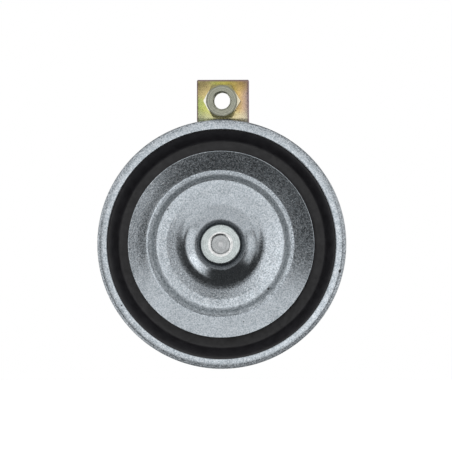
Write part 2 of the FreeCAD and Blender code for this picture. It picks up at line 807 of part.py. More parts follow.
def make_breaker():
    half = size("arm_width") / 2
    left = -BREAKER_CENTRE - half
    right = -BREAKER_CENTRE + half
    top = size("stack_bottom") + size("stack_height")
    moving_end = -size("contact_drop") - size("moving_arm_margin")
    fixed_end = -size("screw_drop") - size("fixed_arm_margin")
    finger = size("finger_width") / 2
    pusher = size("armature_radius") - size("pusher_inset")
    finger_end = pusher - size("finger_margin")
    rivets = [breaker_place(up) for up in breaker_rivet_heights()]
    arm_holes = [place + (size("arm_hole_radius"),) for place in rivets]
    shank_holes = [place + (size("breaker_rivet_radius"),) for place in rivets]

    moving = flat_part("moving_contact_arm", [
        (left, moving_end), (right, moving_end), (right, -finger),
        (-finger_end, -finger), (-finger_end, finger), (right, finger),
        (right, top), (left, top),
    ], MOVING_ARM_BACK, size("moving_arm_thickness"))
    drill(moving, "holes", arm_holes, MOVING_ARM_BACK, size("moving_arm_thickness"))

    fixed = flat_part("fixed_contact_arm", rectangle(left, right, fixed_end, top),
                      FIXED_ARM_BACK, size("fixed_arm_thickness"))
    drill(fixed, "holes", arm_holes, FIXED_ARM_BACK, size("fixed_arm_thickness"))

    add_rod(new_body("moving_contact"), "button", [breaker_place(-size("contact_drop"))],
            size("contact_radius"), MOVING_ARM_FRONT, CONTACT_MEETING - MOVING_ARM_FRONT)
    add_rod(new_body("fixed_contact"), "button", [breaker_place(-size("contact_drop"))],
            size("contact_radius"), CONTACT_MEETING, FIXED_ARM_BACK - CONTACT_MEETING)
    pusher_front = ARMATURE_BACK - size("pusher_clearance")
    add_rod(new_body("pusher_stud"), "stud", [(-pusher, as_size(0))],
            size("pusher_radius"), MOVING_ARM_FRONT, pusher_front - MOVING_ARM_FRONT)

    stack = new_body("breaker_insulators")
    stack.AllowCompound = True
    edge = size("insulator_width") / 2
    block = rectangle(-BREAKER_CENTRE - edge, -BREAKER_CENTRE + edge, size("stack_bottom"), top)
    layers = (("lower", PLATE_FRONT, size("insulator_thickness")),
              ("middle", MOVING_ARM_FRONT, size("insulator_gap_thickness")),
              ("upper", FIXED_ARM_FRONT, size("insulator_thickness")))
    for name, back, thickness in layers:
        sketch = new_sketch(stack, "breaker_insulators_" + name, "XY_Plane", back)
        outline(sketch, block)
        for across, up, radius in shank_holes:
            circle(sketch, across, up, radius)
        pad(stack, sketch, thickness)

    rivet_body = new_body("breaker_rivets")
    rivet_body.AllowCompound = True
    add_rod(rivet_body, "shanks", rivets, size("breaker_rivet_radius"), SHOULDER_INSIDE,
            STACK_FRONT - SHOULDER_INSIDE)
    add_rod(rivet_body, "heads", rivets, size("breaker_rivet_head_radius"), STACK_FRONT,
            size("breaker_rivet_head_height"))


def make_adjusting_screw():
    across, up = breaker_place(-size("screw_drop"))
    bore = size("screw_radius") + size("screw_clearance")
    bush = new_body("screw_bush")
    add_rod(bush, "barrel", [(across, up)], size("bush_radius"), SHOULDER_OUTSIDE,
            PLATE_FRONT - SHOULDER_OUTSIDE)
    flange_back = SHOULDER_OUTSIDE - size("bush_flange_thickness")
    add_rod(bush, "flange", [(across, up)], size("bush_flange_radius"), flange_back,
            size("bush_flange_thickness"))
    drill(bush, "bore", [(across, up, bore)], flange_back, PLATE_FRONT - flange_back)

    screw = new_body("adjusting_screw")
    end = flange_back - size("screw_overhang")
    add_rod(screw, "thread", [(across, up)], size("screw_radius"), end, FIXED_ARM_BACK - end)
    slot = new_sketch(screw, "adjusting_screw_slot", "XY_Plane", end)
    half = size("screw_slot_width") / 2
    wide = size("screw_radius") + size("screw_slot_width")
    outline(slot, rectangle(across - wide, across + wide, up - half, up + half))
    cut_forward(screw, slot, size("screw_slot_depth"))


# Terminals

def make_terminals():
    half = size("terminal_spacing") / 2 + size("block_margin")
    corner = size("block_corner")
    block = flat_part("terminal_block", [
        (-half, -BLOCK_BOTTOM, corner), (half, -BLOCK_BOTTOM, corner),
        (half, -BLOCK_TOP, corner), (-half, -BLOCK_TOP, corner),
    ], BLOCK_BACK, size("block_thickness"))
    add_rod(block, "bosses", terminal_places(), size("boss_radius"), SHOULDER_OUTSIDE,
            PLATE_FRONT - SHOULDER_OUTSIDE)
    shank_holes = [place + (size("terminal_rivet_radius"),) for place in terminal_places()]
    drill(block, "holes", shank_holes, BLOCK_BACK, PLATE_FRONT - BLOCK_BACK)

    edge = size("terminal_spacing") / 2 + size("terminal_insulator_margin")
    rise = size("terminal_insulator_height") / 2
    strip = flat_part("terminal_insulator",
                      rectangle(-edge, edge, -TERMINAL_DROP - rise, -TERMINAL_DROP + rise),
                      PLATE_FRONT, size("terminal_insulator_thickness"))
    drill(strip, "holes", shank_holes, PLATE_FRONT, size("terminal_insulator_thickness"))

    blades = new_body("terminal_blades")
    blades.AllowCompound = True
    blade_end = FOOT_BACK - size("blade_length")
    blade_plane = BLOCK_BOTTOM - size("blade_inset")
    for name, middle in (("left", terminal_places()[0][0]), ("right", terminal_places()[1][0])):
        sketch = new_sketch(blades, "terminal_blade_" + name, "YZ_Plane", middle)
        sheet_section(sketch, [
            (-BLOCK_TOP - size("blade_foot_margin"), BLOCK_BACK),
            (-blade_plane, BLOCK_BACK, size("blade_bend")),
            (-blade_plane, blade_end),
        ], size("blade_sheet"), 1)
        pad(blades, sketch, size("blade_width"), midplane=True)
    drill(blades, "holes", shank_holes, FOOT_BACK, size("blade_sheet"))
    locks = new_sketch(blades, "terminal_blades_locks", "XZ_Plane", blade_plane)
    for middle, _ in terminal_places():
        circle(locks, middle, blade_end + size("blade_hole_setback"), size("blade_hole_radius"))
    pocket(blades, locks, size("blade_sheet"))
    tip_level = blade_end.value

    def is_tip_corner(edge):
        across_sheet = edge.BoundBox.YLength > edge.BoundBox.XLength + edge.BoundBox.ZLength
        return across_sheet and abs(edge.BoundBox.Center.z - tip_level) < 0.001

    round_edges(blades, "terminal_blades_tips", size("blade_corner"), is_tip_corner)

    rivet_group("terminal_rivets", terminal_places(), size("terminal_rivet_radius"),
                size("terminal_rivet_head_radius"), size("terminal_rivet_head_height"),
                size("terminal_rivet_dome"), FOOT_BACK, INNER_INSULATOR_FRONT)


# Bracket and its fasteners

def make_bracket():
    body = new_body("bracket")
    sketch = new_sketch(body, "bracket_section", "YZ_Plane")
    half = size("strap_width") / 2
    bottom = -half
    upper_bend = RING_RADIUS - size("strap_upper_inset")
    past_shoulder = CASE_SHOULDER_RADIUS + size("case_sheet") - size("strap_shoulder_inset")
    slope = (upper_bend - past_shoulder) / (STRAP_FRONT - SHOULDER_OUTSIDE)
    lower_bend = upper_bend - slope * (STRAP_FRONT - FLOOR_OUTSIDE)
    sheet_section(sketch, [
        (bottom, FLOOR_OUTSIDE),
        (lower_bend, FLOOR_OUTSIDE, size("strap_bend")),
        (upper_bend, STRAP_FRONT, size("strap_bend")),
        (AXIS_DROP + size("strap_end_margin"), STRAP_FRONT),
    ], size("strap_sheet"), -1)
    pad(body, sketch, size("strap_width"), midplane=True)
    drill(body, "stud_hole", [(as_size(0), as_size(0), STUD_HOLE)], STRAP_REAR_BACK,
          size("strap_sheet"))
    drill(body, "nut_hole", [(as_size(0), AXIS_DROP, size("strap_hole_radius"))],
          STRAP_FRONT - size("strap_sheet"), size("strap_sheet"))
    end_level = bottom.value

    def is_end_corner(edge):
        ends = [vertex.Point for vertex in edge.Vertexes]
        if len(ends) != 2:
            return False
        at_end = all(abs(end.y - end_level) < 0.001 for end in ends)
        return at_end and abs(ends[0].x - ends[1].x) < 0.001

    round_edges(body, "bracket_end", half - size("strap_corner_margin"), is_end_corner)


def make_fasteners():
    hexagon_nut("bracket_nut", AXIS_DROP, STRAP_FRONT, size("nut_bore_radius"))
    hexagon_nut("stud_nut", as_size(0), STUD_NUT_BACK, size("stud_radius") + size("thread_clearance"))
    body = new_body("spring_washer")
    sketch = new_sketch(body, "spring_washer_section", "XZ_Plane")
    inner = STUD_HOLE
    outer = size("washer_radius")
    outline(sketch, [(inner, STUD_NUT_FRONT), (outer, STUD_NUT_FRONT),
                     (outer, STRAP_REAR_BACK), (inner, STRAP_REAR_BACK)])
    turned = revolve(body, sketch)
    turned.setExpression("Angle", "360 - Sizes.washer_split")


def check_document():
    """Stop if any object failed or any sub-part has no valid shape."""
    for item in document.Objects:
        if "Invalid" in item.State or "Error" in item.State:
            raise RuntimeError("%s is %s" % (item.Label, item.State))
    for part in subparts:
        if part.Shape.isNull() or not part.Shape.isValid() or not part.Shape.Solids:
            raise RuntimeError("%s has no valid solid" % part.Label)


def export_subparts():
    os.makedirs("parts", exist_ok=True)
    for part in subparts:
        part.Shape.exportStep("parts/%s.step" % part.Label)
        box = part.Shape.BoundBox
        print("%-20s solids %d  volume %9.1f  x %.2f %.2f  y %.2f %.2f  z %.2f %.2f" % (
            part.Label, len(part.Shape.Solids), part.Shape.Volume,
            box.XMin, box.XMax, box.YMin, box.YMax, box.ZMin, box.ZMax))


make_front_ring()
make_diaphragm()
make_clamped_rings()
make_tone_disc()
make_collar()
make_stem_rings()
make_armature()
make_core()
make_coil()
make_magnet_plate()
make_case()
make_breaker()
make_adjusting_screw()
make_terminals()
make_bracket()
make_fasteners()
document.recompute()
check_document()
export_subparts()
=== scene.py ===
from collections import namedtuple
import json
import math

import bmesh
import bpy
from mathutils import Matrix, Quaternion, Vector, noise


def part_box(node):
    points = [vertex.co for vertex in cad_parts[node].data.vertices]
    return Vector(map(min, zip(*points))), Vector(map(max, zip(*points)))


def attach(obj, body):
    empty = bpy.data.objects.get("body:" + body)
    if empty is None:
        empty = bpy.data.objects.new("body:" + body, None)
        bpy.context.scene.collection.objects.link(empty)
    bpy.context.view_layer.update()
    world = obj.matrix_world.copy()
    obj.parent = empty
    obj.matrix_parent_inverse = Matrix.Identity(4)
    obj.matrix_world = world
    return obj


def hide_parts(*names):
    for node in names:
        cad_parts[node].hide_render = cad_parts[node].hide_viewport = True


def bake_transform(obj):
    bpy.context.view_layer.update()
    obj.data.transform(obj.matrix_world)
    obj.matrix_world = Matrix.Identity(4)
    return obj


# A disc-type car horn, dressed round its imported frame. Lengths are in millimetres until they reach
# a mesh, a lamp or the camera, which are in metres.
# Sections are drawn in the horn frame: radius from the horn's axis, and depth towards the viewer
# from the plane where the ring is widest.

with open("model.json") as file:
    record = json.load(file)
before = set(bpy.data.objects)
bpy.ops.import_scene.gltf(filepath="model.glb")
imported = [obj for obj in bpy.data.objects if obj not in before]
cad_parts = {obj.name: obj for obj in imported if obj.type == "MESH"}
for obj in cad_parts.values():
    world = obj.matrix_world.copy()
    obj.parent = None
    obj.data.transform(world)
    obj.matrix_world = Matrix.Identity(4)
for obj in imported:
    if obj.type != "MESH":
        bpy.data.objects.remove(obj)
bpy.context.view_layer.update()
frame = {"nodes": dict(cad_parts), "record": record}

MM = 0.001

# Driving sizes, from the frame
ring_low, ring_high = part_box("front_ring")
nut_low, nut_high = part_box("bracket_nut")
RING_RADIUS = (ring_high.x - ring_low.x) / 2 / MM
NUT_FLAT = (nut_high.z - nut_low.z) / 2 / MM
NUT_LENGTH = (nut_high.y - nut_low.y) / MM

# Fineness of the meshes
TURN_STEPS = 360
THREADED_STEPS = 240
STUD_STEPS = 120
PITCH_STEPS = 10
BAR_STEPS = 96
BEND_STEPS = 6
EDGE_STEPS = 4
SMALL_BEND_STEPS = 3
STRAP_BEND_STEPS = 12
LONGEST_RUN = 1.6
STRAP_RUN = 0.5
JOINED_GAP = 0.0005
SHARP_ANGLE = math.radians(32)

# Front ring
RING_FACE_WIDTH = 4.0
RING_CRIMP_WIDTH = 3.4
RING_LIP_RADIUS = RING_RADIUS - RING_FACE_WIDTH
RING_CRIMP_RADIUS = RING_RADIUS - RING_CRIMP_WIDTH
RING_FRONT = 5.0
RING_BACK = -2.6
RING_SHEET = 0.8
RING_EDGE = 0.3
RING_FRONT_BEND = 1.5
RING_BACK_BEND = 1.2
RING_WAVER = 0.03
RING_WAVES_ROUND = 1.6
RING_WAVES_DEEP = 0.05

# Stem, armature and collar
TURNED_EDGE = 0.1
STEM_RADIUS = 3.9
STEM_CLEARANCE = 0.04
STEM_BORE = STEM_RADIUS + STEM_CLEARANCE
STEM_FRONT = 7.4
STEM_CHAMFER = 0.3
STEM_END_EASE = 0.15
STEM_FOOT_BEND = 0.3
ARMATURE_RADIUS = 15.0
ARMATURE_FRONT = -2.4
ARMATURE_BACK = -7.2
ARMATURE_CHAMFER = 0.6
COLLAR_RADIUS = 7.8
COLLAR_LENGTH = 2.8
COLLAR_BACK = 5.4
COLLAR_FRONT = COLLAR_BACK + COLLAR_LENGTH
COLLAR_CHAMFER = 0.25
COLLAR_MOUTH_RADIUS = 4.3
COLLAR_MOUTH_EASE = 0.05

# Diaphragm
PAN_SHEET = 0.5
PAN_EDGE = 0.12
PAN_RADIUS = 48.0
PAN_RAMP_TOP = 45.6
PAN_RAMP_FOOT = 41.7
PAN_RAMP_TOP_BEND = 1.2
PAN_RAMP_FOOT_BEND = 1.5
PAN_FLOOR = 0.4
PAN_DISH_RADIUS = 27.0
PAN_DISH_BEND = 4.0
PAN_MIDDLE = -0.9

# Tone disc
DISC_SHEET = 1.2
DISC_EDGE = 0.1
DISC_RADIUS = 37.4
DISC_RIM = 5.61
DISC_WAVER = 0.05
DISC_WAVES_ROUND = 1.2
DISC_WAVES_OUT = 0.02
STEP_INNER = 22.0
STEP_OUTER = 33.0
STEP_FADE = 3.0
STEP_SHIFT = 0.35

# Case
CASE_SHEET = 1.0
CASE_EDGE = 0.15
CASE_RADIUS = 48.8
CASE_MOUTH_RADIUS = 44.0
CASE_SHOULDER_RADIUS = 41.0
CASE_NECK_RADIUS = 27.0
CASE_FLOOR_RADIUS = 25.5
CASE_MOUTH_DEPTH = 13.2
CASE_CUP_DEPTH = 17.0
CASE_FRONT = -0.8
CASE_SHOULDER = CASE_FRONT - CASE_MOUTH_DEPTH
CASE_FLOOR = CASE_SHOULDER - CASE_CUP_DEPTH
CASE_MOUTH_BEND = 1.5
CASE_SHOULDER_BEND = 3.0
CASE_NECK_BEND = 2.5
CASE_FLOOR_BEND = 2.0

# Core, with its stud at the back
CORE_RADIUS = 9.0
CORE_FRONT = -8.0
CORE_CHAMFER = 0.6
STUD_RADIUS = 4.0
STUD_CLEARANCE = 0.1
STUD_HOLE_RADIUS = STUD_RADIUS + STUD_CLEARANCE
STUD_LENGTH = 13.8
STUD_SHANK = 3.0
STUD_THREAD_START = CASE_FLOOR - STUD_SHANK
STUD_END = CASE_FLOOR - STUD_LENGTH
STUD_CHAMFER = 0.7

# Threads, nuts and spring washer
PITCH = 1.25
THREAD_DEPTH = 0.6
THREAD_ROOT = 0.12
THREAD_FLANK = 0.72
THREAD_CLEARANCE = 0.04
NUT_FACE_INSET = 0.3
NUT_FACE_EASE = 0.3
NUT_FACE = NUT_FLAT - NUT_FACE_INSET
NUT_SIDE_EASE = 0.1
NUT_SLOPE = 0.70
NUT_CORNER_RADIUS = 7.36
NUT_MOUTH = 0.6
BRACKET_NUT_BORE = 3.32
STUD_NUT_BORE = STUD_RADIUS + THREAD_CLEARANCE
WASHER_RADIUS = 6.9
WASHER_THICKNESS = 2.0
WASHER_EDGE = 0.15
WASHER_SWEEP = math.radians(348)
WASHER_STEPS = 174

# Bracket's strap
STRAP_HALF = 10.5
STRAP_ROUND = 10.4
STRAP_SHEET = 2.5
STRAP_EDGE = 0.3
STRAP_BEND = 5.0
STRAP_FRONT = -5.0
STRAP_REAR = CASE_FLOOR - CASE_SHEET
STRAP_LOW_CORNER = 30.0
STRAP_HIGH_CORNER = 48.5
STRAP_TOP = 66.3
NUT_HOLE_RADIUS = 4.4
WASHER_FRONT = STRAP_REAR - STRAP_SHEET
WASHER_BACK = WASHER_FRONT - WASHER_THICKNESS

# Places in the row frame, in metres, and the nut's height above the horn's axis
AXIS_X = (ring_low.x + ring_high.x) / 2
AXIS_Z = (ring_low.z + ring_high.z) / 2
RIM_Y = nut_high.y + STRAP_FRONT * MM
NUT_RISE = ((nut_low.z + nut_high.z) / 2 - AXIS_Z) / MM


# Sections

def horn_point(across, up, depth):
    """A point of the horn frame, in millimetres, as a point of the row frame in metres."""
    return Vector((AXIS_X + across * MM, RIM_Y - depth * MM, AXIS_Z + up * MM))


def left_of(direction):
    return Vector((-direction.y, direction.x))


def bent_path(corners, closed=False, longest=LONGEST_RUN, steps=BEND_STEPS):
    """Sample a path with rounded bends. Each corner is x, y and perhaps a bend radius.

    Returns the points and, for each, the direction in which the path runs there.
    """
    spots = [Vector(corner[:2]) for corner in corners]
    radii = [corner[2] if len(corner) > 2 else 0.0 for corner in corners]
    count = len(spots)
    samples = []
    for i, spot in enumerate(spots):
        arriving = (spot - spots[i - 1]).normalized() if closed or i > 0 else None
        leaving = (spots[(i + 1) % count] - spot).normalized() if closed or i < count - 1 else None
        if radii[i] == 0.0 or arriving is None or leaving is None:
            both = [d for d in (arriving, leaving) if d is not None]
            samples.append((spot, sum(both, Vector((0.0, 0.0))).normalized()))
            continue
        turn = math.atan2(arriving.cross(leaving), arriving.dot(leaving))
        reach = radii[i] * math.tan(abs(turn) / 2)
        side = math.copysign(1.0, turn)
        centre = spot - arriving * reach + left_of(arriving) * radii[i] * side
        for step in range(steps + 1):
            angle = turn * step / steps
            direction = Vector((arriving.x * math.cos(angle) - arriving.y * math.sin(angle),
                                arriving.x * math.sin(angle) + arriving.y * math.cos(angle)))
            samples.append((centre - left_of(direction) * radii[i] * side, direction))
    return divided(samples, closed, longest)


def divided(samples, closed, longest):
    """Divide the long straight runs between samples."""
    result = []
    pairs = list(zip(samples, samples[1:]))
    if closed:
        pairs.append((samples[-1], samples[0]))
    for (start, direction), (end, _) in pairs:
        result.append((start, direction))
        run = end - start
        parts = max(1, math.ceil(run.length / longest))
        for part in range(1, parts):
            result.append((start + run * part / parts, run.normalized()))
    if not closed:
        result.append(samples[-1])
    return result


def cut_end(point, tangent, across, thickness, edge):
    """The eased end of a sheet, from its near face to its far face.

    It begins and ends with a point a little way in, so that the rounding of the edge doesn't tilt
    the shading of the flat faces beside it.
    """
    near = point + across * edge - tangent * edge
    far = point + across * (thickness - edge) - tangent * edge
    arc = [math.pi / 2 * step / EDGE_STEPS for step in range(EDGE_STEPS + 1)]
    first = [near + (tangent * math.sin(a) - across * math.cos(a)) * edge for a in arc]
    last = [far + (tangent * math.cos(a) + across * math.sin(a)) * edge for a in arc]
    support = point - tangent * 2 * edge
    return [support] + first + last + [support + across * thickness]


def sheet_outline(corners, thickness, side, edge):
    """The closed outline of a bent sheet. Its far face lies left of the path where side is 1."""
    samples = bent_path(corners)
    normals = [left_of(direction) * side for _, direction in samples]
    near = [point for point, _ in samples]
    far = [point + normal * thickness for point, normal in zip(near, normals)]
    last = cut_end(near[-1], samples[-1][1], normals[-1], thickness, edge)
    first = cut_end(near[0], -samples[0][1], normals[0], thickness, edge)
    return near[1:-1] + last + far[-2:0:-1] + first[::-1]


# Meshes

def skin(rows, loop_rows, loop_points, capped=False):
    """A mesh through rows of points, each row as long as the next."""
    width = len(rows[0])
    vertices = [point for row in rows for point in row]
    faces = []
    for i in range(len(rows) if loop_rows else len(rows) - 1):
        here = i * width
        there = (i + 1) % len(rows) * width
        for j in range(width if loop_points else width - 1):
            k = (j + 1) % width
            faces.append((here + j, here + k, there + k, there + j))
    if capped:
        faces.append(tuple(range(width)))
        faces.append(tuple(range(len(vertices) - width, len(vertices))))
    mesh = bpy.data.meshes.new("skin")
    mesh.from_pydata(vertices, [], faces)
    return mesh


def tidied(mesh):
    """Join the points that coincide, face the surface outwards and smooth its gentle bends."""
    work = bmesh.new()
    work.from_mesh(mesh)
    bmesh.ops.remove_doubles(work, verts=work.verts, dist=JOINED_GAP * MM)
    bmesh.ops.recalc_face_normals(work, faces=work.faces)
    work.to_mesh(mesh)
    work.free()
    mesh.shade_smooth()
    mesh.set_sharp_from_angle(angle=SHARP_ANGLE)
    return mesh


def turns(steps):
    """The angles of a full turn, one for each step."""
    return [2 * math.pi * step / steps for step in range(steps)]


def round_row(profile, angle, rise=0.0):
    """A profile of radius and depth, set at an angle round the horn's axis or one above it."""
    return [horn_point(radius * math.sin(angle), rise + radius * math.cos(angle), depth)
            for radius, depth in profile]


def turned(outline, closed=True, shift=None):
    """Turn an outline of radius and depth round the horn's axis.

    shift moves a point of the outline, given its angle, radius and depth.
    """
    rows = []
    for angle in turns(TURN_STEPS):
        profile = outline
        if shift is not None:
            profile = [shift(angle, radius, depth) for radius, depth in outline]
        rows.append(round_row(profile, angle))
    return tidied(skin(rows, True, closed))


def without(mesh, cutter):
    """The mesh with the cutter's space taken away."""
    scene = bpy.context.scene
    body = bpy.data.objects.new("body_to_cut", mesh)
    tool = bpy.data.objects.new("cutter", cutter)
    scene.collection.objects.link(body)
    scene.collection.objects.link(tool)
    cut = body.modifiers.new("cut", "BOOLEAN")
    cut.object = tool
    cut.operation = "DIFFERENCE"
    cut.solver = "EXACT"
    depsgraph = bpy.context.evaluated_depsgraph_get()
    result = bpy.data.meshes.new_from_object(body.evaluated_get(depsgraph))
    bpy.data.objects.remove(body)
    bpy.data.objects.remove(tool)
    return tidied(result)


def round_bar(rise, radius, back, front):
    """A closed round bar along the horn's depth, above the horn's axis by its rise."""
    rows = [[horn_point(radius * math.sin(angle), rise + radius * math.cos(angle), depth)
             for angle in turns(BAR_STEPS)] for depth in (back, front)]
    return tidied(skin(rows, False, True, capped=True))


def piece(name, mesh, material, body, node):
    """Make an object that stands for a CAD node and rides on its body, where it has just one."""
    mesh.name = name
    mesh.materials.clear()
    mesh.materials.append(material)
    made = bpy.data.objects.new(name, mesh)
    bpy.context.scene.collection.objects.link(made)
    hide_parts(node)
    if body is not None:
        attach(made, body)
    return made


# Nodes

def as_colour(value):
    """A colour with its opacity; a number or a socket stays as it is."""
    if isinstance(value, tuple) and len(value) == 3:
        return (*value, 1.0)
    return value


class Nodes:
    """Shader nodes in one tree."""

    def __init__(self, tree):
        self.tree = tree

    def add(self, kind, **settings):
        """Add a node; settings name its properties, its inputs or what feeds them."""
        made = self.tree.nodes.new(kind)
        for key, value in settings.items():
            if hasattr(made, key):
                setattr(made, key, value)
            else:
                self.feed(made.inputs[key], value)
        return made

    def feed(self, socket, value):
        if isinstance(value, bpy.types.NodeSocket):
            self.tree.links.new(value, socket)
        else:
            socket.default_value = value

    def math(self, operation, first, second=0.0, third=0.0):
        made = self.add("ShaderNodeMath", operation=operation)
        for socket, value in zip(made.inputs, (first, second, third)):
            self.feed(socket, value)
        return made.outputs["Value"]

    def span(self, value, low, high, start=0.0, end=1.0):
        """From start to end, with soft ends, while the value goes from low to high."""
        made = self.add("ShaderNodeMapRange", interpolation_type="SMOOTHSTEP", Value=value)
        limits = {"From Min": low, "From Max": high, "To Min": start, "To Max": end}
        for name, limit in limits.items():
            made.inputs[name].default_value = limit
        return made.outputs["Result"]

    def blend(self, factor, first, second):
        """A number between two numbers."""
        made = self.add("ShaderNodeMix", data_type="FLOAT")
        for name, value in (("Factor", factor), ("A", first), ("B", second)):
            self.feed(made.inputs[name], value)
        return made.outputs["Result"]

    def mix(self, factor, first, second, kind="MIX"):
        """A colour from two colours."""
        made = self.add("ShaderNodeMix", data_type="RGBA", blend_type=kind)
        self.feed(made.inputs["Factor"], factor)
        self.feed(made.inputs["A"], as_colour(first))
        self.feed(made.inputs["B"], as_colour(second))
        return made.outputs["Result"]

    def times(self, colour, share):
        """The colour times its share, which is a grey or another colour."""
        return self.mix(1.0, colour, share, "MULTIPLY")

    def ramp(self, factor, stops):
        """Colours or greys along a factor."""
        made = self.add("ShaderNodeValToRGB", Fac=factor)
        elements = made.color_ramp.elements
        while len(elements) < len(stops):
            elements.new(0.5)
        for element, (position, colour) in zip(elements, stops):
            element.position = position
            grey = (colour,) * 3 if isinstance(colour, float) else colour
            element.color = (*grey, 1.0)
        return made.outputs["Color"]

    def shades(self, factor, low, high, margin=0.3):
        """From one colour or grey to another, leaving a margin at both ends of the factor."""
        return self.ramp(factor, ((margin, low), (1.0 - margin, high)))


class Finish(Nodes):
    """A metal, coat or plastic built from nodes round one shader."""

    def __init__(self, name, metallic, roughness):
        self.material = bpy.data.materials.new(name)
        self.material.use_nodes = True
        super().__init__(self.material.node_tree)
        self.shader = self.tree.nodes["Principled BSDF"]
        self.shader.inputs["Metallic"].default_value = metallic
        self.shader.inputs["Roughness"].default_value = roughness
        self.place = self.add("ShaderNodeTexCoord").outputs["Object"]

    def axis(self, name):
        """The place along an axis of the row frame, in metres."""
        return self.add("ShaderNodeSeparateXYZ", Vector=self.place).outputs[name]

    def noise(self, size, detail, stretch=None):
        """Soft noise whose grains are about size millimetres across."""
        place = self.place
        if stretch is not None:
            place = self.add("ShaderNodeMapping", Vector=place, Scale=stretch).outputs["Vector"]
        made = self.add("ShaderNodeTexNoise", Vector=place, Scale=1.0 / (size * MM), Detail=detail)
        return made.outputs["Fac"]

    def rings(self, radius, scale):
        """Uneven rings round an axis, from the distance to it."""
        made = self.add("ShaderNodeTexNoise", noise_dimensions="1D", W=radius, Scale=scale,
                        Detail=3.0)
        return made.outputs["Fac"]

    def radius(self, across=0.0, up=0.0):
        """Distance in millimetres from the horn's axis, or from an axis beside it."""
        shifted = self.add("ShaderNodeVectorMath", operation="SUBTRACT")
        self.feed(shifted.inputs[0], self.place)
        shifted.inputs[1].default_value = (AXIS_X + across * MM, 0.0, AXIS_Z + up * MM)
        flat = self.add("ShaderNodeVectorMath", operation="MULTIPLY")
        self.feed(flat.inputs[0], shifted.outputs["Vector"])
        flat.inputs[1].default_value = (1.0, 0.0, 1.0)
        length = self.add("ShaderNodeVectorMath", operation="LENGTH")
        self.feed(length.inputs[0], flat.outputs["Vector"])
        return self.math("MULTIPLY", length.outputs["Value"], 1.0 / MM)

    def near(self, spot, reach):
        """One at a spot of the horn frame, falling to nothing at its reach in millimetres."""
        gap = self.add("ShaderNodeVectorMath", operation="DISTANCE")
        self.feed(gap.inputs[0], self.place)
        gap.inputs[1].default_value = horn_point(*spot)
        heart = 0.35 * reach
        return self.span(gap.outputs["Value"], reach * MM, heart * MM)

    def colour(self, value):
        self.feed(self.shader.inputs["Base Color"], value)

    def metallic(self, value):
        self.feed(self.shader.inputs["Metallic"], value)

    def roughness(self, value):
        self.feed(self.shader.inputs["Roughness"], value)

    def rough_between(self, factor, low, high, margin=0.2):
        """Roughness from low to high, leaving a margin at both ends of the factor."""
        self.roughness(self.span(factor, margin, 1.0 - margin, low, high))

    def bump(self, height, depth):
        """Relief whose full height is depth in millimetres."""
        made = self.add("ShaderNodeBump", Height=height)
        made.inputs["Strength"].default_value = 1.0
        made.inputs["Distance"].default_value = depth * MM
        previous = self.shader.inputs["Normal"]
        if previous.is_linked:
            self.feed(made.inputs["Normal"], previous.links[0].from_socket)
        self.feed(previous, made.outputs["Normal"])


# Galvanised sheet

SPANGLE = ((0.30, (0.375, 0.43, 0.46)), (0.46, (0.53, 0.58, 0.63)), (0.60, (0.64, 0.69, 0.735)),
           (0.75, (0.74, 0.78, 0.815)))
SPECKLE = ((0.36, 0.68), (0.62, 1.32))

# Dark pits: across, up and depth of each, and how far it reaches
PITS = ((47.6, -10.7, 5.0, 0.9), (18.9, -17.9, 3.45, 0.75), (-21.5, 14.0, 3.4, 0.45),
        (9.0, -31.0, 4.8, 0.4), (-40.0, -24.6, 5.0, 0.5))
PIT_COLOUR = (0.05, 0.05, 0.055)

# A band round the axis, partly dulled zinc and partly painted shade, which darkens hollows,
# turned-away edges and over-bright reflections:
# its two radii, how far its centre lies to the right, how softly it ends, the share of colour kept,
# the roughness added and the shine lost
WearAndShade = namedtuple("WearAndShade", "inner outer across soft shade rougher duller")

RING_WEAR_AND_SHADE = (
    WearAndShade(48.7, 52.0, across=0.0, soft=0.6, shade=(0.90, 0.90, 0.90), rougher=0.22, duller=0.6),
    # Painted shade along the ring's outer edge, where it turns away.
    WearAndShade(49.6, 52.0, across=0.0, soft=0.4, shade=(0.66, 0.66, 0.66), rougher=0.0, duller=0.0),
)
DISC_SHADE_BANDS = (
    # Painted shade in the recess round the collar, which also dims the crest's highlight there.
    WearAndShade(7.0, 10.0, across=0.0, soft=0.5, shade=(0.16, 0.17, 0.18), rougher=0.30, duller=1.0),
    # Painted shade in the groove inside the step.
    WearAndShade(26.1, 28.0, across=-0.5, soft=0.95, shade=(0.40, 0.42, 0.43), rougher=0.30, duller=0.9),
    # Painted shade that dims the reflection on the step's crest.
    WearAndShade(28.7, 29.5, across=-0.2, soft=0.6, shade=(0.76, 0.77, 0.78), rougher=0.06, duller=0.1),
)


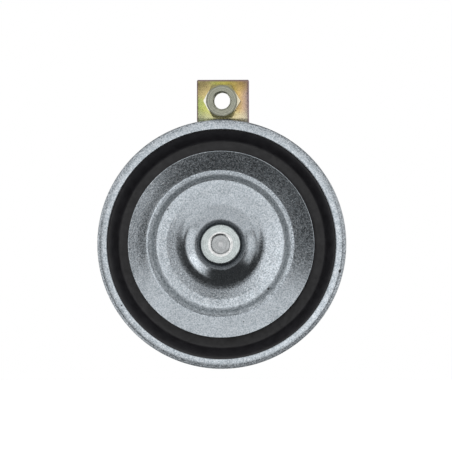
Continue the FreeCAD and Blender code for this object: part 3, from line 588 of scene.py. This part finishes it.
def galvanised(name, wear_and_shade=()):
    """Hot-dipped sheet with a fine blue-grey spangle, a few dark pits, and bands of wear and painted
    shade.
    """
    made = Finish(name, 1.0, 0.27)
    grain = made.noise(0.5, 1.0)
    cloud = made.noise(4.5, 3.0)
    drift = made.noise(1.3, 2.0)
    colour = made.times(made.ramp(grain, SPANGLE), made.shades(cloud, 0.90, 1.06))
    for across, up, depth, reach in PITS:
        colour = made.mix(made.near((across, up, depth), reach), colour, PIT_COLOUR)
    rough = made.span(made.noise(0.8, 1.0), 0.25, 0.75, 0.14, 0.25)
    metal = 1.0
    for band in wear_and_shade:
        place = made.math("SUBTRACT", made.radius(band.across), band.soft)
        place = made.math("MULTIPLY_ADD", drift, 2 * band.soft, place)
        middle = (band.inner + band.outer) / 2
        half = (band.outer - band.inner) / 2
        gap = made.math("ABSOLUTE", made.math("SUBTRACT", place, middle))
        band_mask = made.span(gap, half + band.soft, half - band.soft)
        shade = band.shade
        if band.duller > 0.0:
            shade = made.times(shade, made.ramp(grain, SPECKLE))
        colour = made.times(colour, made.mix(band_mask, (1.0, 1.0, 1.0), shade))
        rough = made.math("MULTIPLY_ADD", band_mask, band.rougher, rough)
        metal = made.math("MULTIPLY_ADD", band_mask, -band.duller, metal)
    made.colour(colour)
    made.metallic(metal)
    made.roughness(rough)
    made.bump(made.noise(0.7, 1.0), 0.012)
    made.bump(made.noise(6.0, 2.0), 0.008)
    return made.material


# Yellow zinc on the bracket

# Colours of the strap's bloom from its left edge to its right edge
BLOOM = ((0.02, (0.78, 0.94, 0.32)), (0.28, (0.93, 0.92, 0.26)), (0.58, (0.87, 0.75, 0.17)),
         (0.80, (0.89, 0.62, 0.25)), (0.93, (0.76, 0.54, 0.39)), (1.00, (0.48, 0.39, 0.41)))
BLOOM_WANDER = 0.36
PALE_ZINC = (0.98, 0.95, 0.70)
RUSTY_ZINC = (0.95, 0.68, 0.36)
PURPLE_ZINC = (0.28, 0.19, 0.20)
NUT_SHADOW_OLIVE = (0.20, 0.19, 0.10)
STRAP_SPECKS = ((0.28, 0.76), (0.42, 1.06), (0.75, 1.15))


def yellow_zinc():
    """Yellow passivated strap with an orange and purple bloom.

    It is pale from its nut down, rusty at the upper left, dark above the nut, with a painted shadow
    right below it, and purple along its edges. Heights count from the nut's axis, where the row
    frame's Z is zero.
    """
    made = Finish("yellow_zinc", 1.0, 0.30)
    across = made.axis("X")
    up = made.axis("Z")
    drift = made.noise(7.0, 3.0)
    tone = made.math("MULTIPLY_ADD", across, 0.5 / (STRAP_HALF * MM), 0.5 - BLOOM_WANDER / 2)
    colour = made.ramp(made.math("MULTIPLY_ADD", drift, BLOOM_WANDER, tone), BLOOM)
    rise = made.math("MULTIPLY_ADD", drift, 4.0 * MM, up)
    pale = made.span(rise, 0.0, -5.0 * MM, 0.0, 0.6)
    colour = made.mix(pale, colour, PALE_ZINC)
    rust = made.near((-8.0, NUT_RISE + 5.0, STRAP_FRONT), 6.0)
    colour = made.mix(made.math("MULTIPLY", rust, 0.75), colour, RUSTY_ZINC)
    dark = made.span(rise, 4.0 * MM, 9.0 * MM)
    colour = made.times(colour, made.ramp(dark, ((0.0, 1.0), (1.0, 0.56))))
    # Painted shadow of the nut on the strap: an olive darkening right below the nut.
    nut_shadow = made.near((0.0, NUT_RISE - 7.3, STRAP_FRONT), 5.2)
    colour = made.mix(made.math("MULTIPLY", nut_shadow, 0.88), colour, NUT_SHADOW_OLIVE)
    side = made.span(made.math("ABSOLUTE", across), 9.7 * MM, 10.4 * MM)
    margin = made.math("MAXIMUM", made.span(up, 7.6 * MM, 8.6 * MM), side)
    fading = made.span(up, -16.0 * MM, -9.0 * MM, 0.25, 1.0)
    colour = made.mix(made.math("MULTIPLY", margin, fading), colour, PURPLE_ZINC)
    made.colour(made.times(colour, made.ramp(made.noise(0.6, 2.0), STRAP_SPECKS)))
    made.rough_between(made.noise(1.5, 2.0), 0.20, 0.34, 0.25)
    made.bump(made.noise(1.1, 2.0), 0.008)
    return made.material


# Zinc plate

def bright_zinc():
    """Zinc plate on small turned and pressed pieces."""
    made = Finish("bright_zinc", 1.0, 0.30)
    made.colour(made.shades(made.noise(2.0, 3.0), (0.52, 0.54, 0.50), (0.68, 0.70, 0.66), 0.25))
    made.rough_between(made.noise(0.5, 2.0), 0.24, 0.40)
    made.bump(made.noise(0.4, 2.0), 0.004)
    return made.material


def nut_zinc():
    """Greyed zinc on the bracket's nut, with painted highlights on its left and right corners beyond
    a painted line of shade.
    """
    made = Finish("nut_zinc", 1.0, 0.30)
    radius = made.radius(up=NUT_RISE)
    rings = made.rings(radius, 2.5)
    cloud = made.noise(1.6, 3.0)
    face = made.shades(cloud, (0.40, 0.41, 0.33), (0.52, 0.53, 0.44), 0.25)
    face = made.times(face, made.shades(rings, 0.76, 1.20))
    # Painted highlights on the nut's left and right corners, whiter on the left, yellowish
    # elsewhere.
    across = made.axis("X")
    highlight_sides = made.span(made.math("ABSOLUTE", across), 4.6 * MM, 5.6 * MM)
    corner_highlight = made.mix(made.span(across, -MM, MM), (1.0, 0.98, 0.88), (0.92, 0.85, 0.64))
    corner = made.mix(highlight_sides, (0.52, 0.47, 0.22), corner_highlight)
    place = made.math("MULTIPLY_ADD", cloud, 0.6, radius)
    colour = made.mix(made.span(place, NUT_FLAT - 0.1, NUT_FLAT + 0.15), face, corner)
    # A painted dark line of shade where the face meets the corners.
    edge_shade_line = made.math("MULTIPLY", made.span(place, NUT_FLAT - 0.4, NUT_FLAT - 0.15),
                     made.span(place, NUT_FLAT + 0.15, NUT_FLAT - 0.05))
    made.colour(made.mix(made.math("MULTIPLY", edge_shade_line, 0.7), colour, (0.22, 0.22, 0.16)))
    made.rough_between(cloud, 0.24, 0.40)
    made.bump(rings, 0.01)
    made.bump(made.noise(0.5, 2.0), 0.006)
    return made.material


def turned_zinc(name, low, high, ring_depth, highlight_radius, middle_highlight):
    """Zinc plate or bare steel over the faint rings that a lathe leaves, with a painted highlight
    that brightens the middle.
    """
    made = Finish(name, 1.0, 0.26)
    radius = made.radius()
    rings = made.rings(radius, 2.4)
    cloud = made.noise(1.2, 3.0)
    blend = made.math("MULTIPLY_ADD", rings, 0.8, made.math("MULTIPLY", cloud, 0.2))
    middle = made.span(radius, highlight_radius + 0.3, highlight_radius - 0.3)
    made.colour(made.mix(middle, made.shades(blend, low, high), middle_highlight))
    made.rough_between(cloud, 0.22, 0.34)
    made.bump(rings, ring_depth)
    return made.material


# Coat, other metals and plastics

def black_coat():
    """Thin satin coating on pressed sheet."""
    made = Finish("black_coat", 0.0, 0.36)
    cloud = made.noise(3.0, 4.0)
    made.colour(made.shades(cloud, (0.014, 0.0135, 0.016), (0.025, 0.0245, 0.028)))
    made.rough_between(made.noise(1.6, 3.0), 0.30, 0.44)
    made.bump(made.noise(0.5, 2.0), 0.004)
    return made.material


def plain_steel():
    """Machined mild steel."""
    made = Finish("plain_steel", 1.0, 0.34)
    made.colour(made.shades(made.noise(1.5, 4.0), (0.40, 0.40, 0.41), (0.54, 0.54, 0.55)))
    made.rough_between(made.noise(0.6, 3.0), 0.26, 0.44)
    made.bump(made.noise(0.3, 2.0, stretch=(1.0, 6.0, 1.0)), 0.004)
    return made.material


def copper_wire():
    """Enamelled wire, laid turn by turn along the depth."""
    made = Finish("copper_wire", 1.0, 0.28)
    wave = made.add("ShaderNodeTexWave", Vector=made.place, bands_direction="Y", Scale=600.0)
    wires = wave.outputs["Fac"]
    made.colour(made.ramp(wires, ((0.1, (0.30, 0.12, 0.05)), (0.7, (0.74, 0.38, 0.19)))))
    made.rough_between(made.noise(0.8, 2.0), 0.22, 0.36)
    made.bump(wires, 0.08)
    return made.material


def spring_bronze():
    """Rolled strip with a fine grain along its length."""
    made = Finish("spring_bronze", 1.0, 0.30)
    grain = made.noise(0.25, 3.0, stretch=(1.0, 0.06, 1.0))
    cloud = made.noise(2.5, 3.0)
    blend = made.math("MULTIPLY_ADD", grain, 0.4, made.math("MULTIPLY", cloud, 0.6))
    made.colour(made.shades(blend, (0.56, 0.42, 0.22), (0.78, 0.62, 0.36)))
    made.rough_between(grain, 0.24, 0.38)
    made.bump(grain, 0.003)
    return made.material


def contact_alloy():
    """Sintered contact button."""
    made = Finish("contact_alloy", 1.0, 0.38)
    made.colour(made.shades(made.noise(0.3, 3.0), (0.52, 0.52, 0.53), (0.72, 0.72, 0.73)))
    made.bump(made.noise(0.25, 2.0), 0.01)
    return made.material


def moulding(name, low, high, grain, rough):
    """A moulded or pressed plastic with slight mottling and a fine tooth."""
    made = Finish(name, 0.0, sum(rough) / 2)
    made.colour(made.shades(made.noise(grain * 4, 4.0), low, high))
    made.rough_between(made.noise(grain * 2, 2.0), *rough)
    made.bump(made.noise(grain, 2.0), 0.008)
    return made.material


MATERIALS = {
    "galvanised": galvanised("galvanised"),
    "black_coat": black_coat(),
    "yellow_zinc": yellow_zinc(),
    "bright_zinc": bright_zinc(),
    "plain_steel": plain_steel(),
    "copper_wire": copper_wire(),
    "spring_bronze": spring_bronze(),
    "contact_alloy": contact_alloy(),
    "phenolic": moulding("phenolic", low=(0.020, 0.018, 0.017), high=(0.045, 0.040, 0.037),
                         grain=0.4, rough=(0.35, 0.5)),
    "fibre": moulding("fibre", low=(0.24, 0.12, 0.08), high=(0.40, 0.22, 0.14),
                      grain=0.5, rough=(0.6, 0.75)),
    "nylon": moulding("nylon", low=(0.74, 0.71, 0.64), high=(0.82, 0.80, 0.74),
                      grain=0.6, rough=(0.4, 0.55)),
    "gasket_rubber": moulding("gasket_rubber", low=(0.03, 0.03, 0.03), high=(0.06, 0.06, 0.06),
                              grain=0.3, rough=(0.65, 0.8)),
}
RING_ZINC = galvanised("galvanised_rolled", RING_WEAR_AND_SHADE)
DISC_ZINC = galvanised("galvanised_drawn", DISC_SHADE_BANDS)
NUT_ZINC = nut_zinc()
# The collar's bright middle is a painted highlight on its inner chamfer.
COLLAR_ZINC = turned_zinc("collar_zinc", low=(0.59, 0.655, 0.655), high=(0.75, 0.81, 0.81),
                          ring_depth=0.006, highlight_radius=5.0, middle_highlight=(0.97, 0.98, 0.98))
STEM_STEEL = turned_zinc("stem_steel", low=(0.44, 0.46, 0.47), high=(0.60, 0.62, 0.63),
                         ring_depth=0.01, highlight_radius=1.0, middle_highlight=(0.66, 0.67, 0.68))


# Front ring and diaphragm

def ring_waver(angle, radius, depth):
    """The slight unevenness that rolling leaves in the ring."""
    spot = Vector((math.sin(angle) * RING_WAVES_ROUND, math.cos(angle) * RING_WAVES_ROUND,
                   depth * RING_WAVES_DEEP))
    return (radius - RING_WAVER * abs(noise.noise(spot)),
            depth + RING_WAVER * noise.noise(spot * 2.0) - RING_WAVER)


def make_front_ring():
    corners = [(RING_LIP_RADIUS, RING_FRONT), (RING_RADIUS, RING_FRONT, RING_FRONT_BEND),
               (RING_RADIUS, RING_BACK, RING_BACK_BEND), (RING_CRIMP_RADIUS, RING_BACK)]
    outline = sheet_outline(corners, RING_SHEET, -1, RING_EDGE)
    piece("ring_rolled", turned(outline, shift=ring_waver), RING_ZINC, "housing",
          "front_ring")


def make_diaphragm():
    seat = RING_FRONT - RING_SHEET
    corners = [(PAN_RADIUS, seat), (PAN_RAMP_TOP, seat, PAN_RAMP_TOP_BEND),
               (PAN_RAMP_FOOT, PAN_FLOOR, PAN_RAMP_FOOT_BEND),
               (PAN_DISH_RADIUS, PAN_FLOOR, PAN_DISH_BEND),
               (ARMATURE_RADIUS, PAN_MIDDLE, PAN_DISH_BEND), (STEM_BORE, PAN_MIDDLE)]
    made = piece("diaphragm_pressed", turned(sheet_outline(corners, PAN_SHEET, 1, PAN_EDGE)),
                 MATERIALS["black_coat"], None, "diaphragm")
    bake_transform(made)


# Tone disc, collar and armature

def disc_waver(angle, radius, depth):
    """The slight unevenness of a pressed disc: its step off centre, its edge wavy."""
    spot = Vector((math.sin(angle) * DISC_WAVES_ROUND, math.cos(angle) * DISC_WAVES_ROUND,
                   radius * DISC_WAVES_OUT))
    step = max(0.0, min(1.0, (radius - STEP_INNER) / STEP_FADE, (STEP_OUTER - radius) / STEP_FADE))
    fall = (radius / DISC_RADIUS) ** 2 * (0.5 + 0.5 * noise.noise(spot))
    return radius - STEP_SHIFT * step * math.sin(angle), depth - DISC_WAVER * fall


def make_tone_disc():
    """The disc from its hub to its free edge; corners give radius, depth and bend radius."""
    hub = [(STEM_BORE, COLLAR_BACK), (8.15, COLLAR_BACK, 0.5)]
    dome = [(9.0, 7.9, 1.25), (15.0, 4.2, 8.0)]
    valley = [(17.7, 3.8, 26.0), (22.1, 3.47, 24.0), (26.3, 3.3, 2.2)]
    step = [(27.6, 4.42, 1.35), (29.4, 4.26, 4.0)]
    flange = [(DISC_RADIUS, DISC_RIM)]
    outline = sheet_outline(hub + dome + valley + step + flange, DISC_SHEET, -1, DISC_EDGE)
    piece("tone_disc_pressed", turned(outline, shift=disc_waver), DISC_ZINC,
          "vibrator", "tone_disc")


def make_collar():
    shoulder = COLLAR_FRONT - COLLAR_CHAMFER
    corners = [(STEM_BORE, COLLAR_BACK), (COLLAR_RADIUS, COLLAR_BACK),
               (COLLAR_RADIUS, shoulder, TURNED_EDGE),
               (COLLAR_RADIUS - COLLAR_CHAMFER, COLLAR_FRONT, TURNED_EDGE),
               (COLLAR_MOUTH_RADIUS, COLLAR_FRONT, TURNED_EDGE),
               (STEM_BORE, shoulder, COLLAR_MOUTH_EASE)]
    outline = [point for point, _ in bent_path(corners, closed=True)]
    piece("collar_turned", turned(outline), COLLAR_ZINC, "vibrator", "collar")


def make_armature():
    face = ARMATURE_RADIUS - ARMATURE_CHAMFER
    corners = [(0.0, ARMATURE_BACK), (face, ARMATURE_BACK, TURNED_EDGE),
               (ARMATURE_RADIUS, ARMATURE_BACK + ARMATURE_CHAMFER, TURNED_EDGE),
               (ARMATURE_RADIUS, ARMATURE_FRONT - ARMATURE_CHAMFER, TURNED_EDGE),
               (face, ARMATURE_FRONT, TURNED_EDGE), (STEM_RADIUS, ARMATURE_FRONT, STEM_FOOT_BEND),
               (STEM_RADIUS, STEM_FRONT - STEM_CHAMFER, TURNED_EDGE),
               (STEM_RADIUS - STEM_CHAMFER, STEM_FRONT, STEM_END_EASE), (0.0, STEM_FRONT)]
    outline = [point for point, _ in bent_path(corners)]
    piece("armature_turned", turned(outline, closed=False), STEM_STEEL, "vibrator",
          "armature")


# Case, and core with its stud

def make_case():
    corners = [(CASE_RADIUS, CASE_FRONT), (CASE_MOUTH_RADIUS, CASE_FRONT, CASE_MOUTH_BEND),
               (CASE_SHOULDER_RADIUS, CASE_SHOULDER, CASE_SHOULDER_BEND),
               (CASE_NECK_RADIUS, CASE_SHOULDER, CASE_NECK_BEND),
               (CASE_FLOOR_RADIUS, CASE_FLOOR, CASE_FLOOR_BEND), (STUD_HOLE_RADIUS, CASE_FLOOR)]
    piece("case_pressed", turned(sheet_outline(corners, CASE_SHEET, 1, CASE_EDGE)),
          MATERIALS["black_coat"], "housing", "case")


def thread_lift(depth, angle):
    """Height of a right-hand thread's flank, from 0 at its root to 1 at its crest."""
    phase = (depth / PITCH - angle / (2 * math.pi)) % 1.0
    return min(1.0, max(0.0, (abs(2 * phase - 1) - THREAD_ROOT) / THREAD_FLANK))


def depths_between(back, front):
    """Depths along a thread, several to each of its turns."""
    count = round((front - back) / PITCH * PITCH_STEPS)
    return [back + (front - back) * i / count for i in range(count + 1)]


def make_core():
    corners = [(STUD_RADIUS, CASE_FLOOR), (CORE_RADIUS, CASE_FLOOR),
               (CORE_RADIUS, CORE_FRONT - CORE_CHAMFER, TURNED_EDGE),
               (CORE_RADIUS - CORE_CHAMFER, CORE_FRONT, TURNED_EDGE), (0.0, CORE_FRONT)]
    body = [tuple(point) for point, _ in bent_path(corners)]
    rows = []
    for angle in turns(STUD_STEPS):
        thread = []
        for depth in depths_between(STUD_END, STUD_THREAD_START):
            radius = STUD_RADIUS - THREAD_DEPTH * (1 - thread_lift(depth, angle))
            thread.append((min(radius, STUD_RADIUS - STUD_CHAMFER + depth - STUD_END), depth))
        rows.append(round_row([(0.0, STUD_END)] + thread + body, angle))
    piece("core_turned", tidied(skin(rows, True, False)), MATERIALS["plain_steel"],
          "housing", "core")


# Nuts and spring washer

def hexagon_radius(angle):
    """Distance from a nut's axis to its side, with flats at top and bottom and trimmed corners."""
    sector = math.pi / 3
    offset = (angle + sector / 2) % sector - sector / 2
    return min(NUT_FLAT / math.cos(offset), NUT_CORNER_RADIUS)


def make_nut(name, node, material, rise, back, bore, threaded):
    """A hexagon nut chamfered on both faces, with a threaded or a plain bore."""
    front = back + NUT_LENGTH
    mouth = bore + NUT_MOUTH
    rows = []
    for angle in turns(THREADED_STEPS):
        inside = []
        for depth in depths_between(back, front):
            radius = bore
            if threaded:
                radius += THREAD_DEPTH * (1 - thread_lift(depth, angle))
            near_face = min(depth - back, front - depth)
            inside.append((max(radius, mouth - near_face), depth))
        side = hexagon_radius(angle)
        fall = (side - NUT_FACE) * NUT_SLOPE
        corners = [(mouth, front), (NUT_FACE, front, NUT_FACE_EASE),
                   (side, front - fall, NUT_SIDE_EASE), (side, back + fall, NUT_SIDE_EASE),
                   (NUT_FACE, back, NUT_FACE_EASE), (mouth, back)]
        outside = bent_path(corners, longest=NUT_LENGTH, steps=SMALL_BEND_STEPS)
        profile = inside + [tuple(point) for point, _ in outside[1:-1]]
        rows.append(round_row(profile, angle, rise))
    piece(name, tidied(skin(rows, True, True)), material, "housing", node)


def make_spring_washer():
    corners = [(STUD_HOLE_RADIUS, WASHER_BACK, WASHER_EDGE),
               (WASHER_RADIUS, WASHER_BACK, WASHER_EDGE),
               (WASHER_RADIUS, WASHER_FRONT, WASHER_EDGE),
               (STUD_HOLE_RADIUS, WASHER_FRONT, WASHER_EDGE)]
    section = [point for point, _ in bent_path(corners, closed=True, steps=SMALL_BEND_STEPS)]
    rows = []
    for step in range(WASHER_STEPS + 1):
        angle = WASHER_SWEEP * step / WASHER_STEPS
        rows.append([horn_point(p.x * math.cos(angle), p.x * math.sin(angle), p.y)
                     for p in section])
    piece("spring_washer_split", tidied(skin(rows, False, True, capped=True)),
          MATERIALS["bright_zinc"], "housing", "spring_washer")


# Bracket

def strap_section(point, backward, half, inset):
    """The strap's eased section at one place on its path."""
    side = half - inset
    near, far = inset, STRAP_SHEET - inset
    corners = [(-side, near, STRAP_EDGE), (side, near, STRAP_EDGE), (side, far, STRAP_EDGE),
               (-side, far, STRAP_EDGE)]
    outline = bent_path(corners, closed=True, longest=3 * STRAP_HALF, steps=SMALL_BEND_STEPS)
    return [horn_point(p.x, point.x + backward.x * p.y, point.y + backward.y * p.y)
            for p, _ in outline]


def arc_drop(radius, left):
    """How far a quarter circle lies inside its square, with so much of its radius left to run."""
    return radius - math.sqrt(max(0.0, radius ** 2 - left ** 2))


def strap_hole(mesh, rise, radius, front):
    """The strap with a round hole, where its near face lies at the depth front."""
    beyond = 2.0
    return without(mesh, round_bar(rise, radius, front - STRAP_SHEET - beyond, front + beyond))


def make_bracket():
    corners = [(-STRAP_HALF, STRAP_REAR), (STRAP_LOW_CORNER, STRAP_REAR, STRAP_BEND),
               (STRAP_HIGH_CORNER, STRAP_FRONT, STRAP_BEND), (STRAP_TOP, STRAP_FRONT)]
    samples = bent_path(corners, longest=STRAP_RUN, steps=STRAP_BEND_STEPS)
    narrowest = 2.5 * STRAP_EDGE
    travelled = 0.0
    whole = sum((b[0] - a[0]).length for a, b in zip(samples, samples[1:]))
    rows = []
    previous = samples[0][0]
    for point, direction in samples:
        travelled += (point - previous).length
        previous = point
        half = STRAP_HALF - arc_drop(STRAP_ROUND, max(0.0, STRAP_ROUND - travelled))
        inset = arc_drop(STRAP_EDGE, max(0.0, STRAP_EDGE - (whole - travelled)))
        rows.append(strap_section(point, -left_of(direction), max(half, narrowest), inset))
    mesh = tidied(skin(rows, False, True, capped=True))
    mesh = strap_hole(mesh, NUT_RISE, NUT_HOLE_RADIUS, STRAP_FRONT)
    mesh = strap_hole(mesh, 0.0, STUD_HOLE_RADIUS, STRAP_REAR)
    piece("strap_bent", mesh, MATERIALS["yellow_zinc"], "housing", "bracket")


# The whole horn

def dress_nodes():
    """Give the pieces that keep their CAD shape their materials and smooth surfaces."""
    slots = {part["node"]: part["material_slot"] for part in frame["record"]["subparts"]}
    for name, node in frame["nodes"].items():
        node.data.materials.clear()
        node.data.materials.append(MATERIALS[slots[name]])
        node.data.shade_smooth()
        node.data.set_sharp_from_angle(angle=SHARP_ANGLE)


def make_horn():
    dress_nodes()
    make_front_ring()
    make_diaphragm()
    make_tone_disc()
    make_collar()
    make_armature()
    make_case()
    make_core()
    make_bracket()
    make_nut("bracket_nut_hexagon", "bracket_nut", NUT_ZINC, rise=NUT_RISE, back=STRAP_FRONT,
             bore=BRACKET_NUT_BORE, threaded=True)
    make_nut("stud_nut_hexagon", "stud_nut", MATERIALS["bright_zinc"], rise=0.0,
             back=WASHER_BACK - NUT_LENGTH, bore=STUD_NUT_BORE, threaded=False)
    make_spring_washer()


# Camera, lamps, backdrop and floor

VIEW_MIDDLE = horn_point(1.65, 7.3, 0.0)
VIEW_WIDTH = 181.7 * MM
CAMERA_AZIMUTH = math.radians(4.0)
CAMERA_DISTANCE = 1.3
SENSOR_WIDTH = 36.0

# Name, azimuth and elevation in degrees, distance, width and height in metres, level and roll
LAMPS = (
    ("key", -1.7, -2.1, 1.6, 0.70, 0.43, 0.98, -4.0),
    ("key_centre", 2.5, -5.5, 1.5, 0.36, 0.30, 0.24, 0.0),
    ("top", 0.0, 47.0, 1.6, 3.60, 2.80, 0.61, 0.0),
    ("bank", -2.0, 17.0, 1.6, 2.24, 0.62, 0.15, 0.0),
    ("side_right", 48.0, 0.0, 1.6, 0.90, 0.70, 0.28, 0.0),
    ("side_left", -72.0, -30.0, 1.6, 0.50, 0.70, 0.70, 0.0),
)

# Which way a reflected ray meets the white studio; each pair runs from none of it to all of it
WHITE_BEHIND = (-0.62, -0.40)
WHITE_ABOVE = (-0.73, -0.60)
WHITE_BELOW = (0.66, 0.30)
WHITE_LEAN = 0.21
DIM_IN_REFLECTIONS = 0.045
DIM_ELSEWHERE = 0.35

FLOOR_DROP = 112.0
FLOOR_RADIUS = 1.2
FLOOR_GLOW = 0.72


def towards(azimuth, elevation):
    """The direction from the horn to a place in front of it; azimuth grows to the right."""
    level = math.cos(elevation)
    return Vector((math.sin(azimuth) * level, -math.cos(azimuth) * level, math.sin(elevation)))


def make_camera():
    camera = bpy.data.objects.new("camera", bpy.data.cameras.new("camera"))
    bpy.context.scene.collection.objects.link(camera)
    back = towards(CAMERA_AZIMUTH, 0.0)
    camera.location = VIEW_MIDDLE + back * CAMERA_DISTANCE
    camera.rotation_mode = "QUATERNION"
    camera.rotation_quaternion = (-back).to_track_quat("-Z", "Y")
    camera.data.sensor_width = SENSOR_WIDTH
    camera.data.lens = SENSOR_WIDTH * CAMERA_DISTANCE / VIEW_WIDTH
    camera.data.clip_start = 0.01
    camera.data.clip_end = 20.0
    bpy.context.scene.camera = camera


def softbox(name, azimuth, elevation, distance, width, height, level, roll):
    """A soft lamp that faces the horn and looks about as bright as a surface of that level."""
    lamp = bpy.data.lights.new(name, "AREA")
    lamp.shape = "RECTANGLE"
    lamp.size = width
    lamp.size_y = height
    lamp.energy = level * math.pi * width * height
    made = bpy.data.objects.new(name, lamp)
    bpy.context.scene.collection.objects.link(made)
    direction = towards(math.radians(azimuth), math.radians(elevation))
    rolled = Quaternion(direction, math.radians(roll))
    made.location = VIEW_MIDDLE + direction * distance
    made.rotation_mode = "QUATERNION"
    made.rotation_quaternion = rolled @ direction.to_track_quat("Z", "Y")
    made.visible_camera = False


def make_lamps():
    for settings in LAMPS:
        softbox(*settings)


def make_world():
    """White behind the horn and for the eye, a dim studio in front of it."""
    world = bpy.data.worlds.new("studio")
    world.use_nodes = True
    world.node_tree.nodes.clear()
    bpy.context.scene.world = world
    made = Nodes(world.node_tree)
    direction = made.add("ShaderNodeTexCoord").outputs["Generated"]
    split = made.add("ShaderNodeSeparateXYZ", Vector=direction)
    across, along, up = (split.outputs[name] for name in "XYZ")
    leaning = made.math("SUBTRACT", up, made.math("MULTIPLY", across, WHITE_LEAN))
    studio = made.math("MULTIPLY", made.span(along, *WHITE_BEHIND), made.span(leaning, *WHITE_ABOVE))
    studio = made.math("MULTIPLY", studio, made.span(up, *WHITE_BELOW))
    rays = made.add("ShaderNodeLightPath").outputs
    reflected = made.math("MAXIMUM", rays["Is Glossy Ray"], rays["Is Transmission Ray"])
    studio = made.math("MULTIPLY", studio, reflected)
    white = made.math("MAXIMUM", rays["Is Camera Ray"], studio)
    dim = made.blend(reflected, DIM_ELSEWHERE, DIM_IN_REFLECTIONS)
    background = made.add("ShaderNodeBackground", Color=(1.0, 1.0, 1.0, 1.0),
                          Strength=made.blend(white, dim, 1.0))
    made.add("ShaderNodeOutputWorld", Surface=background.outputs["Background"])


def make_floor():
    """A pale floor below the horn, white to the eye except in shadow."""
    ring = [Vector((AXIS_X + FLOOR_RADIUS * math.sin(angle), FLOOR_RADIUS * math.cos(angle),
                    AXIS_Z - FLOOR_DROP * MM)) for angle in turns(BAR_STEPS)]
    mesh = bpy.data.meshes.new("floor")
    mesh.from_pydata(ring, [], [tuple(range(len(ring)))])
    floor = bpy.data.objects.new("floor", mesh)
    bpy.context.scene.collection.objects.link(floor)
    made = Finish("pale_floor", 0.0, 0.7)
    made.colour(made.shades(made.noise(30.0, 2.0), (0.80, 0.80, 0.80), (0.84, 0.84, 0.84)))
    rays = made.add("ShaderNodeLightPath").outputs
    glow = made.math("MULTIPLY", rays["Is Camera Ray"], FLOOR_GLOW)
    made.feed(made.shader.inputs["Emission Strength"], glow)
    made.shader.inputs["Emission Color"].default_value = (1.0, 1.0, 1.0, 1.0)
    mesh.materials.append(made.material)
    floor.visible_glossy = False


make_camera()
make_lamps()
make_world()
make_floor()
make_horn()
bpy.context.scene.view_settings.view_transform = "Standard"
